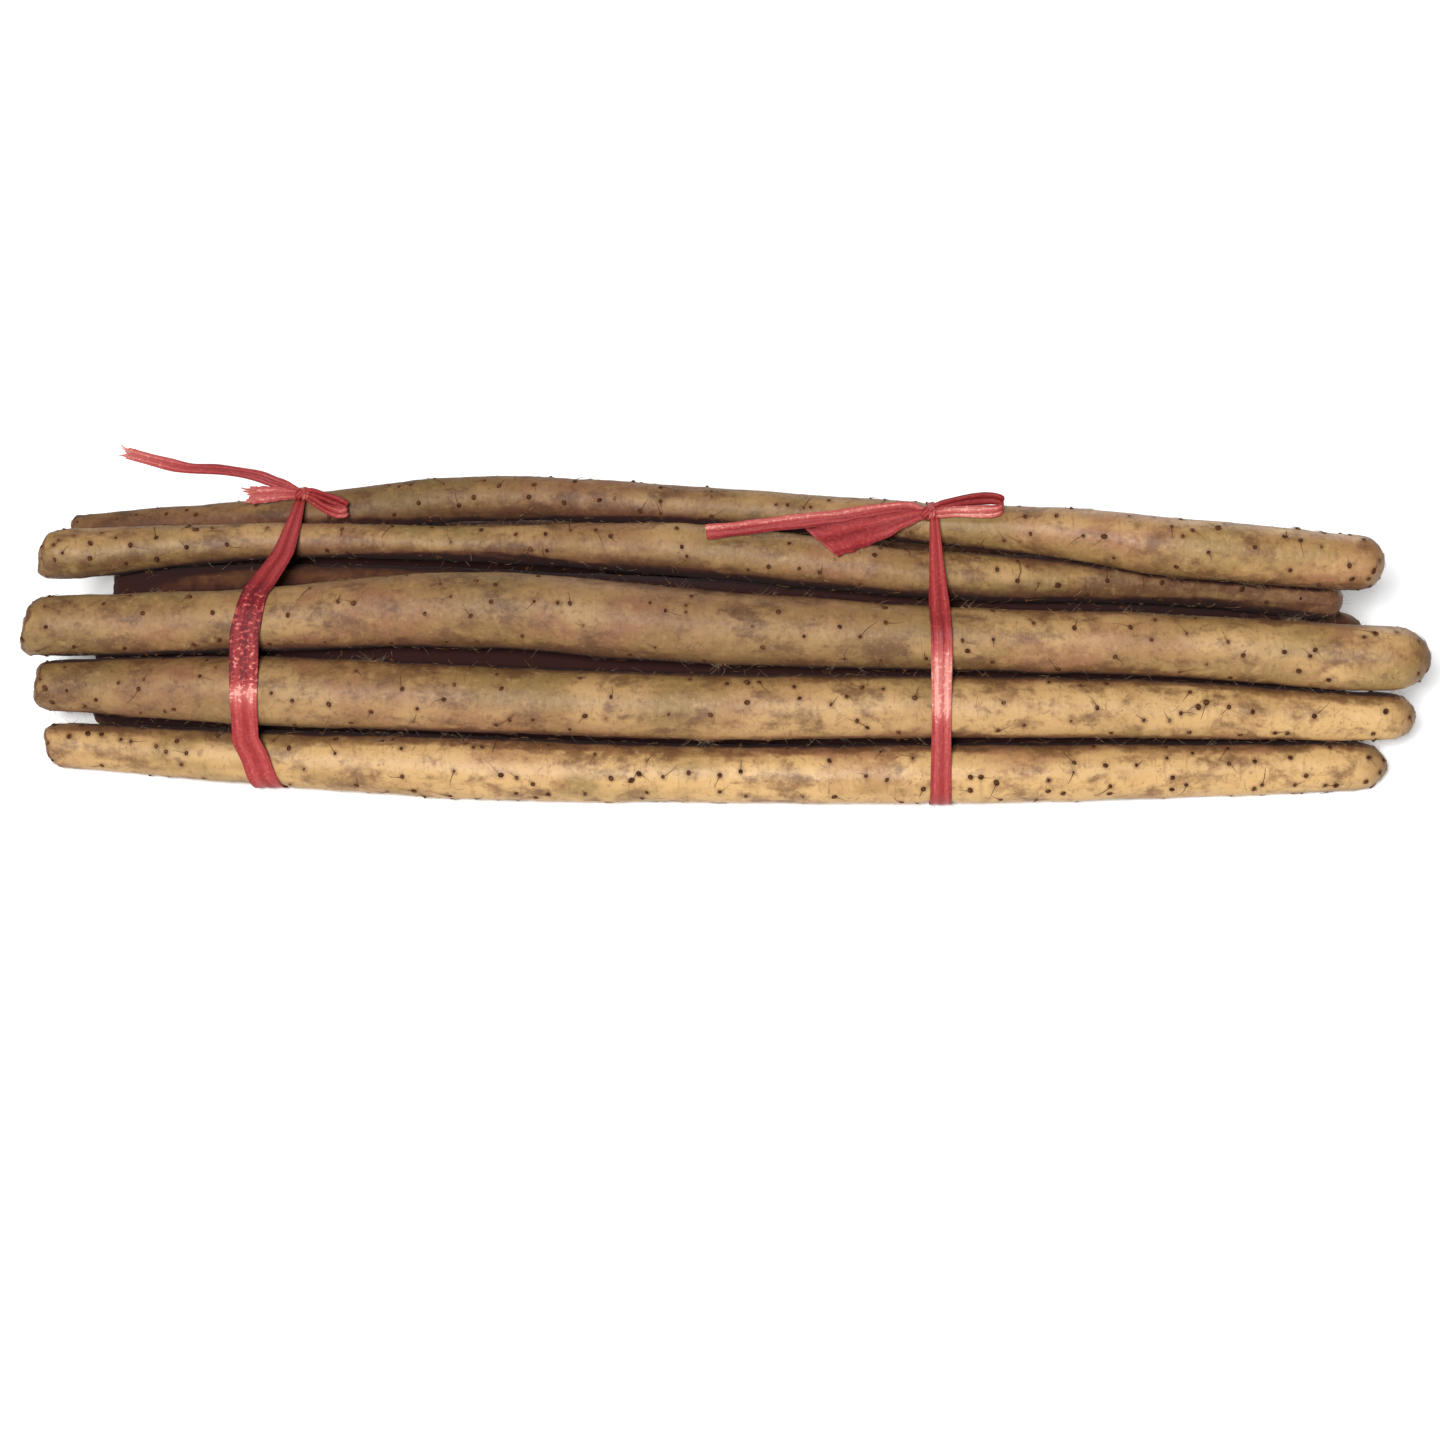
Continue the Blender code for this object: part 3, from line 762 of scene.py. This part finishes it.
    def scatter(self, skin: bpy.types.Object, tapes: BVHTree) -> list[tuple[Vector, Vector]]:
        """Places the scars evenly on the skin, first those of the solid, and none under a tape.

        Args:
            skin: The fine skin.
            tapes: The tapes' solids.

        Returns:
            Each scar's place and the skin's direction there.
        """
        places = places_of(skin.data)
        normals = places_of(skin.data, "normal")
        tree = tree_of(places)
        low, high = places[:, 0].min(), places[:, 0].max()
        wanted = [tree.find(tip)[1] for tip in self.tips]
        wanted += [self.rng.randrange(len(places)) for _ in range(self.scars * self.scar_tries)]
        spots: list[tuple[Vector, Vector]] = []
        for index in wanted:
            spot = Vector(places[index])
            gap = self.scar_gap * self.rng.uniform(0.45, 1.6)
            inside = low + self.bare_ends[0] < spot.x < high - self.bare_ends[1]
            on_floor = normals[index][2] < -0.4 and spot.z < self.bare_under
            if on_floor or tapes.find_nearest(spot, self.tape_room)[0] is not None:
                continue
            if inside and all((spot - other).length > gap for other, _ in spots):
                spots.append((spot, Vector(normals[index])))
            if len(spots) == self.scars:
                break
        return spots

    def raise_collars(self, skin: bpy.types.Object, spots: list[tuple[Vector, Vector]]) -> None:
        """Lifts the skin a little round each scar, and keeps how near each vertex is to one."""
        tree = tree_of([spot for spot, _ in spots])
        places = places_of(skin.data)
        away = np.array([tree.find(place)[2] for place in places])
        self.near_scar = np.exp(-((away / self.collar_reach) ** 2))
        raised = places + places_of(skin.data, "normal") * (self.near_scar * self.collar)[:, None]
        raised[:, 2] = np.maximum(raised[:, 2], 0)
        set_places(skin.data, raised)

    def mark_skin(self, skin: bpy.types.Object) -> None:
        """Stores what the skin's finish reads: hollows, scars, the cut head, the painted shade and the tip.
        """
        mesh = skin.data
        places = places_of(mesh)
        hollow = np.empty(len(places) * 3)
        mesh.attributes["hollow"].data.foreach_get("vector", hollow)
        self.hollow = hollow[::3]
        low, high = places[:, 0].min(), places[:, 0].max()
        facing = -places_of(mesh, "normal")[:, 0]
        cut = ease(places[:, 0], low + self.head, low + self.head / 2) * ease(facing, 0.45, 0.85)
        tip = ease(places[:, 0], high - self.foot, high)
        # The painted shade, from head to foot.
        shade = np.interp(places[:, 0], (low, (low + high) / 2, high), self.shade)
        mark(mesh, "marks", self.hollow, ease(self.near_scar, 0.15, 0.9), cut)
        mark(mesh, "tone", shade, tip, np.interp(places[:, 0], (low, high), self.fair))

    def make_roots(
        self,
        spots: list[tuple[Vector, Vector]],
        shapes: dict[Scar, Shape],
        own: BVHTree,
        finishes: "Finishes",
    ) -> None:
        """Sets a scar on every spot and grows a rootlet out of some of them.

        Args:
            spots: Each scar's place and the skin's direction there.
            shapes: The scars' shapes.
            own: The yam's own skin.
            finishes: The materials.
        """
        corners, faces, threads = [], [], []
        for spot, normal in spots:
            shape = shapes[self.rng.choice((Scar.KNOB, Scar.KNOB, Scar.CRATER, Scar.STUB))]
            width = self.rng.triangular(*self.scar_width)
            grow = Matrix.Diagonal((
                width * self.rng.uniform(0.9, 1.35), width, width * self.rng.uniform(0.35, 0.6), 1,
            ))
            spin = Matrix.Rotation(self.rng.uniform(0, math.tau), 4, "Z")
            aim = normal.to_track_quat("Z", "X").to_matrix().to_4x4()
            turn = np.array(Matrix.Translation(spot) @ aim @ spin @ grow)
            corners.append(shape.corners @ turn[:3, :3].T + turn[:3, 3])
            faces.append(shape.faces)
            if self.rng.random() < self.rootlets:
                threads.append(self.creep(spot, ROOTLET, own))
        adopt(filled_piece(self.node + "_scars", corners, faces), finishes.scar)
        adopt(threads_piece(self.node + "_rootlets", threads), finishes.rootlet)

    def creep(self, spot: Vector, kind: Thread, own: BVHTree) -> tuple[list[Vector], float]:
        """Grows a thin root that leaves the skin aslant and stays near it.

        Args:
            spot: Where it starts.
            kind: What kind of root it is.
            own: The yam's own skin.

        Returns:
            Its points, from the root out, and its radius.
        """
        length = kind.length(self.rng)
        steps = kind.steps
        skin, out, _, _ = own.find_nearest(spot)
        angles = (ROOT_ANGLE, -ROOT_ANGLE, math.pi - ROOT_ANGLE, math.pi + ROOT_ANGLE)
        angle = self.rng.choice(angles) + self.rng.gauss(0, ROOT_STRAY)
        bow = self.rng.gauss(0, 0.5) / steps
        rise = self.rng.uniform(0.2, 1.0) * kind.lift * MM
        side = out.cross(Vector((1, 0, 0))).normalized()
        heading = Vector((1, 0, 0)) * math.cos(angle) + side * math.sin(angle)
        points = [skin]
        for step in range(1, steps + 1):
            skin, out, _, _ = own.find_nearest(skin + heading * (length / steps))
            point = skin + out * (0.08 * MM + rise * math.sin(2.4 * step / steps))
            point.z = max(point.z, self.floor_gap)
            points.append(point)
            heading = Matrix.Rotation(bow, 3, out) @ heading
            heading = (heading - out * heading.dot(out)).normalized()
        return points, kind.radius(self.rng)

    def reach_out(self, spot: Vector, normal: Vector) -> tuple[list[Vector], float]:
        """Grows a fine hair that crosses a crevice, aslant and almost straight.

        Args:
            spot: Where it starts.
            normal: The skin's direction there.

        Returns:
            Its points, from the root out, and its radius.
        """
        length = HAIR.length(self.rng)
        along = Vector((self.rng.choice((-1, 1, 1)) * self.rng.uniform(0.5, 1.8), 0, 0))
        heading = (normal + along + Vector((0, -0.3, 0.3))).normalized()
        sag = Vector([self.rng.gauss(0, 0.12) for _ in range(3)])
        points = [
            spot + heading * (length * share) + sag * (length * share**2) for share in (0, 0.33, 0.67, 1)
        ]
        for point in points:
            point.z = max(point.z, self.floor_gap)
        return points, HAIR.radius(self.rng)

    def make_hairs(self, skin: bpy.types.Object, own: BVHTree, finishes: "Finishes") -> None:
        """Grows pale fine hairs across the crevices and short fuzz all over the skin.

        Args:
            skin: The finished skin.
            own: The same skin, to stay near to.
            finishes: The materials.
        """
        places = places_of(skin.data)
        normals = places_of(skin.data, "normal")
        least, most = self.crevice
        ready = np.flatnonzero((self.hollow > least) & (self.hollow < most))
        hairs = []
        for _ in range(self.hairs if len(ready) else 0):
            index = int(ready[self.rng.randrange(len(ready))])
            hairs.append(self.reach_out(Vector(places[index]), Vector(normals[index])))
        fuzz = []
        for _ in range(self.fuzz):
            spot = Vector(places[self.rng.randrange(len(places))])
            fuzz.append(self.creep(spot, FUZZ, own))
        if hairs:
            adopt(threads_piece(self.node + "_hairs", hairs), finishes.hair)
        adopt(threads_piece(self.node + "_fuzz", fuzz), finishes.fuzz)


@dataclass
class Ribbon:
    """A stretch of creased film, row by row from its start.

    Middle, across and out have a row of three numbers for each step: the middle of the film's under side, the
    way to its edge with half its width, and the way its face looks. Pale says how pale the film is painted at
    each step, which holds its painted shade and highlights, and crinkle how crushed it is, which also paints
    glints on it.
    """

    name: str
    middle: np.ndarray
    across: np.ndarray
    out: np.ndarray
    pale: np.ndarray
    crinkle: np.ndarray
    folds: float = 1.0
    small_folds: float = 3.2
    depth: float = 0.5 * MM
    lean: float = 0.0
    slant: float = 0.0
    columns: int = 20
    film: float = 0.12 * MM

    def build(self) -> bpy.types.Object:
        """Lays a grid along the way, pleats it and gives it a thickness."""
        rng = np.random.default_rng(sum(map(ord, self.name)))
        rows = len(self.middle)
        piece = basic_shape("grid", x_subdivisions=self.columns, y_subdivisions=rows - 1, size=1)
        piece.name = piece.data.name = self.name
        v = np.tile(np.linspace(-1, 1, self.columns + 1), (rows, 1))
        steps = np.linspace(0, 1, rows)[:, None]
        lengths = np.linalg.norm(np.diff(self.middle, axis=0), axis=1)
        along = np.concatenate([[0], np.cumsum(lengths)])[:, None] + 0 * v
        drift = sum(
            rng.uniform(0.2, 0.5) / k * np.sin(math.tau * k * steps + rng.uniform(0, math.tau))
            for k in (1, 2, 3, 5)
        )
        main = 0.5 - 0.5 * np.cos(math.tau * self.folds * v + 0.5 * drift)
        small = 0.5 - 0.5 * np.cos(math.tau * self.small_folds * v + 2.5 * drift + 9 * steps)
        crush = rng.normal(0, 1, v.shape) * (0.04 + 0.22 * self.crinkle[:, None])
        height = np.clip(0.72 * main + 0.22 * small + crush, -0.2, 1.2)
        slide = (self.slant * ease(steps, 0.55, 1.0) * v)[:, :, None]
        ahead = unit(np.gradient(self.middle, axis=0))[:, None]
        wobble = 1 + 0.05 * np.sin(31 * steps + rng.uniform(0, math.tau))
        places = self.middle[:, None] + self.across[:, None] * (v * wobble)[:, :, None]
        places += self.out[:, None] * (self.film / 2 + self.depth * height)[:, :, None] + ahead * slide
        set_places(piece.data, places.reshape(-1, 3))
        pale = self.pale[:, None] + self.lean * np.tanh(3 * v)
        mark(piece.data, "run", along.ravel(), v.ravel(), pale.ravel())
        mark(piece.data, "fold", height.ravel(), np.repeat(self.crinkle, self.columns + 1))
        apply_modifier(piece, "SOLIDIFY", thickness=self.film, offset=0)
        piece.data.shade_smooth()
        return piece


def joined(name: str, pieces: list[bpy.types.Object]) -> bpy.types.Object:
    """Joins objects into one, named anew."""
    only(pieces[0])
    for piece in pieces:
        piece.select_set(True)
    bpy.ops.object.join()
    pieces[0].name = pieces[0].data.name = name
    return pieces[0]


@dataclass
class Strand:
    """A free stretch of tape: the loop of a bow, or a tail.

    Each point is (x, y, z, width, tilt): millimetres from the knot, the film's width, and the tilt in degrees
    of that width, from 0 where it lies level to 90 where it stands on its edge. Tone is (share of the length,
    how pale), which paints shade on the inner face of a loop and highlights where it faces the light. Lean is
    how much paler its upper half is, slant how far its end is cut askew, and slivers how many thin strips its
    end is torn into.
    """

    points: Table
    tone: Table
    lean: float = 0.0
    slant: float = 0.0
    slivers: int = 0
    crinkle: float = 0.12
    rows: int = 60
    sliver_rows: int = 14
    sink: float = 0.25 * MM

    def ribbons(self, name: str, knot: Vector) -> list[Ribbon]:
        """The strand's film and its torn strips.

        Args:
            name: The piece's name.
            knot: The middle of the knot.

        Returns:
            The strips of film.
        """
        table = smooth_rows(self.points, self.rows)
        middle = np.array(knot) + table[:, :3] * MM
        ahead = unit(np.gradient(middle, axis=0))
        tilt = np.radians(table[:, 4])
        across = np.stack([0 * tilt, np.cos(tilt), np.sin(tilt)], axis=1)
        across = unit(across - ahead * (across * ahead).sum(axis=1, keepdims=True))
        out = unit(np.cross(ahead, across))
        middle -= out * self.sink
        half = table[:, 3:4] * MM / 2
        share = np.linspace(0, 1, self.rows)
        pale = np.interp(share, *zip(*self.tone))
        crinkle = np.full(self.rows, self.crinkle)
        made = [
            Ribbon(name, middle, across * half, out, pale, crinkle, lean=self.lean, slant=self.slant)
        ]
        level = np.ones(self.sliver_rows)
        for index in range(self.slivers):
            place = (index + 0.5) / self.slivers * 2 - 1
            reach = np.linspace(-0.8, 1, self.sliver_rows)[:, None]
            swerve = math.sin(5.1 * index + 1)
            way = ahead[-1] * reach * (1.9 + 1.3 * swerve) * MM
            way = way + across[-1] * (half[-1] * 0.8 * place + 0.7 * MM * (place + 0.6 * swerve) * reach**2)
            way = way + out[-1] * 0.5 * MM * swerve * reach**2
            narrow = half[-1] * (0.24 - 0.10 * (reach + 0.8))
            made.append(Ribbon(
                f"{name}_{index}", middle[-1] + way, across[-1] * narrow, out[-1] * level[:, None],
                level * (pale[-1] + 0.1), level * 0.1, folds=0.5, depth=0.15 * MM, columns=4,
            ))
        return made


@dataclass
class Tie:
    """One tape: the band round the bundle, its knot, and its loop and tails.

    Route is where along X the band runs, as (degrees from +Y, millimetres), before the part's zero is added.
    Tone is (degrees on from the knot, how pale), which paints the band's shade where it bends and its
    highlights where it faces the light, and crush (degrees on, how crinkled), which also paints glints.
    """

    node: str
    knot: Vector
    width: float
    neck: float
    route: Table
    tone: Table
    crush: Table
    strands: dict[str, Strand]
    neck_width: float = 3.0 * MM
    middle: Vector = BUILD_ZERO + Vector((0, 5, 20)) * MM
    knot_half: tuple[float, float, float] = (3.0 * MM, 2.5 * MM, 2.2 * MM)
    turn_half: float = 1.25 * MM
    turn_rows: int = 40
    rows: int = 260

    def build(self, material: bpy.types.Material) -> None:
        """Makes all of the tape's pieces and hides the solid."""
        pieces = [self.band().build(), self.make_knot()]
        for part, strand in self.strands.items():
            name = f"{self.node}_{part}"
            pieces.append(joined(name, [ribbon.build() for ribbon in strand.ribbons(name, self.knot)]))
        for piece in pieces:
            adopt(piece, material)
            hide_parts(self.node)
        LOG.info("%s: %d pieces", self.node, len(pieces))

    def band(self) -> Ribbon:
        """The film round the bundle, laid on the inner face of the solid."""
        solid = BVHTree.FromObject(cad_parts[self.node], bpy.context.evaluated_depsgraph_get())
        from_middle = self.knot - self.middle
        first = math.degrees(math.atan2(from_middle.z, from_middle.y))
        turned = np.linspace(0, 360, self.rows)
        angles = np.radians(first + turned)
        wrapped = (first + turned + 180) % 360 - 180
        along = np.interp(wrapped, *zip(*self.route)) * MM + BUILD_ZERO.x
        places = []
        for angle, x in zip(angles, along):
            start = Vector((x, self.middle.y, self.middle.z))
            outward = Vector((0, math.cos(angle), math.sin(angle)))
            places.append(solid.ray_cast(start, outward)[0])
        middle = np.array(places)
        ahead = unit(np.gradient(middle, axis=0))
        across = np.array([[-1.0, 0.0, 0.0]])
        across = unit(across - ahead * (across * ahead).sum(axis=1, keepdims=True))
        out = unit(np.cross(ahead, across))
        from_knot = np.linalg.norm(middle - np.array(self.knot), axis=1)
        spread = np.minimum(1, from_knot / self.neck)
        half = (self.neck_width + (self.width - self.neck_width) * spread) / 2
        pale = np.interp(turned, *zip(*self.tone))
        crinkle = np.interp(turned, *zip(*self.crush))
        return Ribbon(self.node + "_band", middle, across * half[:, None], out, pale, crinkle)

    def make_knot(self) -> bpy.types.Object:
        """A crumpled lump of film with two turns of tape drawn over it."""
        core = basic_shape("ico_sphere", subdivisions=5, radius=1)
        core.name = self.node + "_core"
        places = places_of(core.data)
        turn = np.arctan2(places[:, 2], places[:, 1])
        pleat = 0.5 + 0.5 * np.cos(7 * turn + 3 * places[:, 0])
        set_places(core.data, places * (0.86 + 0.12 * pleat)[:, None] * self.knot_half + self.knot)
        # The pleats are painted darker in their valleys and paler on their ridges by the film's finish:
        # painted shade and highlights.
        mark(core.data, "run", places[:, 0] * 3 * MM, turn / math.pi, 0.35)
        mark(core.data, "fold", pleat, 0.2)
        core.data.shade_smooth()
        turns = []
        angle = np.linspace(0, math.tau, self.turn_rows)
        level = np.ones(self.turn_rows)
        for index, (lean, pale) in enumerate(((0.35, 0.6), (-0.75, 0.42))):
            ring = np.stack([0.3 * np.sin(angle), np.cos(angle), np.sin(angle)], axis=1)
            tip = np.array(Matrix.Rotation(lean, 3, "Z"))
            ring = ring @ tip.T
            middle = ring * np.array(self.knot_half) * 0.94 + np.array(self.knot)
            across = tip @ np.array([self.turn_half, 0, 0]) * level[:, None]
            flat = level * pale
            name = f"{self.node}_turn_{index}"
            turns.append(Ribbon(name, middle, across, unit(ring), flat, flat * 0.3, depth=0.35 * MM).build())
        return joined(self.node + "_knot", [core, *turns])


@dataclass
class Finishes:
    """The materials that the pieces share."""

    skin: bpy.types.Material
    scar: bpy.types.Material
    rootlet: bpy.types.Material
    hair: bpy.types.Material
    fuzz: bpy.types.Material
    film: bpy.types.Material

    @classmethod
    def make(cls) -> "Finishes":
        """Makes them all."""
        roots = (
            RootFinish("root_scar", (0.030, 0.010, 0.003), (0.075, 0.028, 0.009), 0.85),
            RootFinish("dried_rootlet", (0.056, 0.025, 0.009), (0.120, 0.057, 0.022), 0.75),
            RootFinish("crevice_hair", (0.25, 0.18, 0.12), (0.11, 0.070, 0.045), 0.7),
            RootFinish("skin_fuzz", (0.095, 0.045, 0.018), (0.34, 0.215, 0.110), 0.75),
        )
        return cls(SkinFinish().material(), *(root.material() for root in roots), FilmFinish().material())


# The yams inside the bundle hardly show, so they are made less fine.
HIDDEN = dict(levels=2, scars=90, hairs=30, fuzz=80)

# After the name: each yam's painted shade at head, middle and foot, with the inner yams, which lie in the
# bundle's shadow, painted darkest; then how pale it is at head and foot, partly painted light on the lower
# front yams and on the feet.
YAMS = (
    Yam("yam_front_low", (0.32, 0.06, 0.0), (0.75, 0.85), lean=-0.18),
    Yam("yam_front_middle", (0.80, 0.48, 0.0), (0.34, 1.0), lean=0.05),
    Yam("yam_front_high", (0.60, 0.80, 0.12), (0.30, 0.44), lean=0.25),
    Yam("yam_top", (0.46, 0.64, 0.30), (0.40, 0.45), lean=0.22),
    Yam("yam_top_back", (1.10, 0.72, 0.0), (0.25, 0.35)),
    Yam("yam_inner_high", (1.3, 1.5, 1.2), levels=2, scars=110, hairs=50, fuzz=100),
    Yam("yam_inner_low", (1.3, 1.5, 1.3), **HIDDEN),
    Yam("yam_floor_front", (1.0, 1.1, 1.0), **HIDDEN),
    Yam("yam_floor_middle", (0.8, 0.7, 0.6), **HIDDEN),
    Yam("yam_floor_back", levels=2, scars=180, fuzz=300),
    Yam("yam_back", (0.7, 0.7, 0.6)),
)

TIES = (
    Tie(
        node="tie_left", knot=Vector((-152.65, 46.676, 62.896)) * MM,
        width=9.8 * MM, neck=46 * MM,
        route=((-180, -165.5), (-159, -160.5), (-90, -158), (0, -156), (39, -152.4), (68, -157),
               (94, -165), (116, -168.3), (172, -168.3), (180, -165.5)),
        # Tone paints the band's shade and highlights: deep red in shade where it bends onto the front yams,
        # pale where it catches the light over the middle front yam.
        tone=((0, 0.45), (20, 0.40), (42, 0.30), (50, 0.06), (84, 0.14), (98, 0.20), (104, 0.88),
              (110, 0.66), (116, 0.42), (150, 0.42), (180, 0.3), (250, 0.45), (320, 0.35), (360, 0.5)),
        crush=((0, 0.05), (46, 0.08), (54, 0.45), (98, 0.45), (112, 0.1), (170, 0.1), (360, 0.1)),
        strands={
            "loop": Strand((
                (0.8, 0.2, 0.9, 3.0, 80), (4.5, -1.9, 2.0, 4.0, 75), (9.4, -4.5, 2.0, 4.5, 75),
                (14.0, -6.5, 1.6, 4.6, 70), (16.6, -8.3, 1.1, 4.6, 70), (16.2, -10.2, 0.8, 4.6, 70),
                (13.2, -10.5, 0.8, 4.5, 75), (8.6, -8.3, 1.0, 4.3, 75), (4.4, -4.4, 0.8, 4.0, 75),
                (0.8, -1.0, 0.1, 3.0, 80),
            ), tone=((0, 0.5), (0.2, 0.25), (0.4, 0.25), (0.52, 0.7), (0.75, 0.45), (1, 0.5))),
            "long_tail": Strand((
                (0.0, 0.0, 0.0, 3.0, 60), (-5.0, 1.8, 1.6, 3.8, 50), (-10.1, 3.2, 3.0, 4.4, 45),
                (-17.5, 5.0, 4.8, 4.0, 45), (-29.8, 5.9, 6.7, 3.6, 45), (-40.8, 6.0, 7.3, 3.9, 45),
                (-50.7, 7.1, 9.0, 4.6, 45), (-63.2, 8.7, 12.2, 4.0, 45),
            ), tone=((0, 0.50), (0.3, 0.35), (0.6, 0.30), (0.8, 0.5), (1, 0.75)), slivers=6, rows=90),
            "short_tail": Strand((
                (0.0, 0.0, 0.0, 3.0, 50), (-6.0, -0.2, 0.4, 4.4, 40), (-12.0, -0.7, 0.7, 5.8, 40),
                (-18.8, -1.3, 0.6, 6.4, 40),
            ), tone=((0, 0.4), (0.5, 0.62), (1, 0.65)), slivers=6, rows=36),
        },
    ),
    Tie(
        node="tie_right", knot=Vector((72.35, 19.961, 77.803)) * MM,
        width=7.2 * MM, neck=34 * MM,
        route=((-180, 76.3), (-159, 76.8), (-90, 77), (0, 76), (66, 74.4), (100, 75.4), (120, 76.3),
               (180, 76.3)),
        # Tone paints the band's shade and highlights: darker where it bends onto the front yams, pale where
        # it catches the light across them.
        tone=((0, 0.5), (20, 0.45), (42, 0.22), (52, 0.35), (60, 0.8), (84, 0.92), (92, 0.5), (130, 0.42),
              (200, 0.4), (290, 0.5), (360, 0.45)),
        crush=((0, 0.05), (40, 0.12), (90, 0.12), (120, 0.08), (360, 0.08)),
        strands={
            "loop": Strand((
                (0.8, 0.8, 0.6, 3.0, 80), (5.4, 1.9, 1.9, 4.2, 80), (14.0, 3.3, 3.0, 4.9, 80),
                (22.2, 3.7, 3.4, 5.0, 80), (26.0, 2.0, 3.4, 5.0, 80), (25.7, -1.2, 3.1, 5.0, 80),
                (21.4, -2.2, 2.6, 5.0, 80), (10.2, -1.3, 1.7, 4.6, 80), (4.0, -0.9, 0.6, 3.8, 80),
                (0.8, -0.7, 0.0, 3.0, 80),
            ), tone=((0, 0.4), (0.25, 0.2), (0.45, 0.3), (0.55, 0.62), (0.75, 0.85), (1, 0.5))),
            "long_tail": Strand((
                (0.0, 0.0, 0.0, 3.0, 60), (-9.6, 1.4, 1.2, 4.2, 45), (-29.0, -1.8, 0.0, 5.4, 40),
                (-50.2, -4.3, -0.9, 5.2, 35), (-65.0, -6.3, -1.6, 5.4, 25), (-78.8, -7.9, -2.2, 6.0, 18),
            ), tone=((0, 0.45), (0.5, 0.5), (0.85, 0.45), (1, 0.6)), lean=0.22, rows=90),
            "short_tail": Strand((
                (0.0, 0.0, 0.0, 3.0, 60), (-8.0, -2.0, -1.0, 5.6, 50), (-18.4, -5.4, -2.8, 9.0, 42),
                (-28.4, -8.9, -2.9, 11.4, 32), (-38.2, -12.4, -3.2, 13.2, 26),
            ), tone=((0, 0.4), (0.5, 0.3), (1, 0.3)), slant=4 * MM, rows=50),
        },
    ),
)


def surface_of(nodes: Iterable[str]) -> BVHTree:
    """Some of the CAD nodes as one surface to measure gaps to.

    Args:
        nodes: Their names.

    Returns:
        The tree of their faces.
    """
    corners: list[Vector] = []
    faces: list[tuple[int, ...]] = []
    for name in nodes:
        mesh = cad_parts[name].data
        start = len(corners)
        corners += [vertex.co.copy() for vertex in mesh.vertices]
        faces += [tuple(start + index for index in face.vertices) for face in mesh.polygons]
    return BVHTree.FromPolygons(corners, faces)


@dataclass
class Studio:
    """A pale floor, soft light from the front and left, and the photo's camera."""

    metres_per_pixel: float = 0.0003564
    photo_width: int = 1440
    distance: float = 1.25
    elevation: float = 45.0
    sensor: float = 36.0
    aim_pixel: tuple[float, float] = (723.5, 640.0)
    aim: Vector = field(default_factory=lambda: BUILD_ZERO + Vector((0, 0, 40.3)) * MM)
    sky_light: float = 0.17

    def build(self) -> None:
        """Sets up floor, lights and camera."""
        self.lay_floor()
        self.hang_light("key", (-0.32, -1.46, 1.64), 0.55, 80)
        self.hang_light("back", (0.6, 1.8, 0.7), 1.2, 22)
        self.set_camera()
        world = bpy.data.worlds.new("studio")
        world.use_nodes = True
        sky = world.node_tree.nodes["Background"]
        sky.inputs["Color"].default_value = (1, 1, 1, 1)
        sky.inputs["Strength"].default_value = self.sky_light
        scene = bpy.context.scene
        scene.world = world
        scene.view_settings.view_transform = "Standard"

    def lay_floor(self) -> None:
        """A wide pale floor under the bundle."""
        floor = basic_shape("plane", size=8, location=(0, 0, -0.3 * MM))
        floor.name = "floor"
        sheet = Sheet("floor_pale")
        grain = sheet.noise(sheet.place(), 3, 2)
        colour = sheet.mix(grain, (0.94, 0.94, 0.94), (0.96, 0.96, 0.96))
        floor.data.materials.append(sheet.dress(Base_Color=colour, Roughness=0.9))

    def hang_light(self, name: str, place: tuple, size: float, power: float) -> None:
        """Adds a soft square light that looks at the bundle.

        Args:
            name: Its name.
            place: Where it hangs.
            size: The length of its side.
            power: Its power in watts.
        """
        lamp = bpy.data.lights.new(name, "AREA")
        lamp.size = size
        lamp.energy = power
        light = placed(name, lamp)
        light.location = place
        light.rotation_euler = (-Vector(place)).to_track_quat("-Z", "Y").to_euler()

    def set_camera(self) -> None:
        """Puts the camera where the photo was taken from."""
        lens = bpy.data.cameras.new("camera")
        lens.sensor_width = self.sensor
        lens.lens = self.sensor * self.distance / (self.photo_width * self.metres_per_pixel)
        camera = placed("camera", lens)
        angle = math.radians(self.elevation)
        ahead = Vector((0, math.cos(angle), -math.sin(angle)))
        up = Vector((0, math.sin(angle), math.cos(angle)))
        right = (self.photo_width / 2 - self.aim_pixel[0]) * self.metres_per_pixel
        down = (self.aim_pixel[1] - self.photo_width / 2) * self.metres_per_pixel
        aim = self.aim + Vector((1, 0, 0)) * right + up * down
        camera.location = aim - ahead * self.distance
        camera.rotation_euler = ahead.to_track_quat("-Z", "Y").to_euler()
        bpy.context.scene.camera = camera


def main() -> None:
    logging.basicConfig(level=logging.INFO, format="%(name)s: %(message)s")
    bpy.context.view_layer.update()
    finishes = Finishes.make()
    shapes = {scar: scar_shape(scar) for scar in Scar}
    Studio().build()
    tapes = surface_of(tie.node for tie in TIES)
    for yam in YAMS:
        others = surface_of(other.node for other in YAMS if other is not yam)
        yam.build(finishes, shapes, others, tapes)
    for tie in TIES:
        tie.build(finishes.film)
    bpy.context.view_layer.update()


if __name__ == "__main__":
    main()
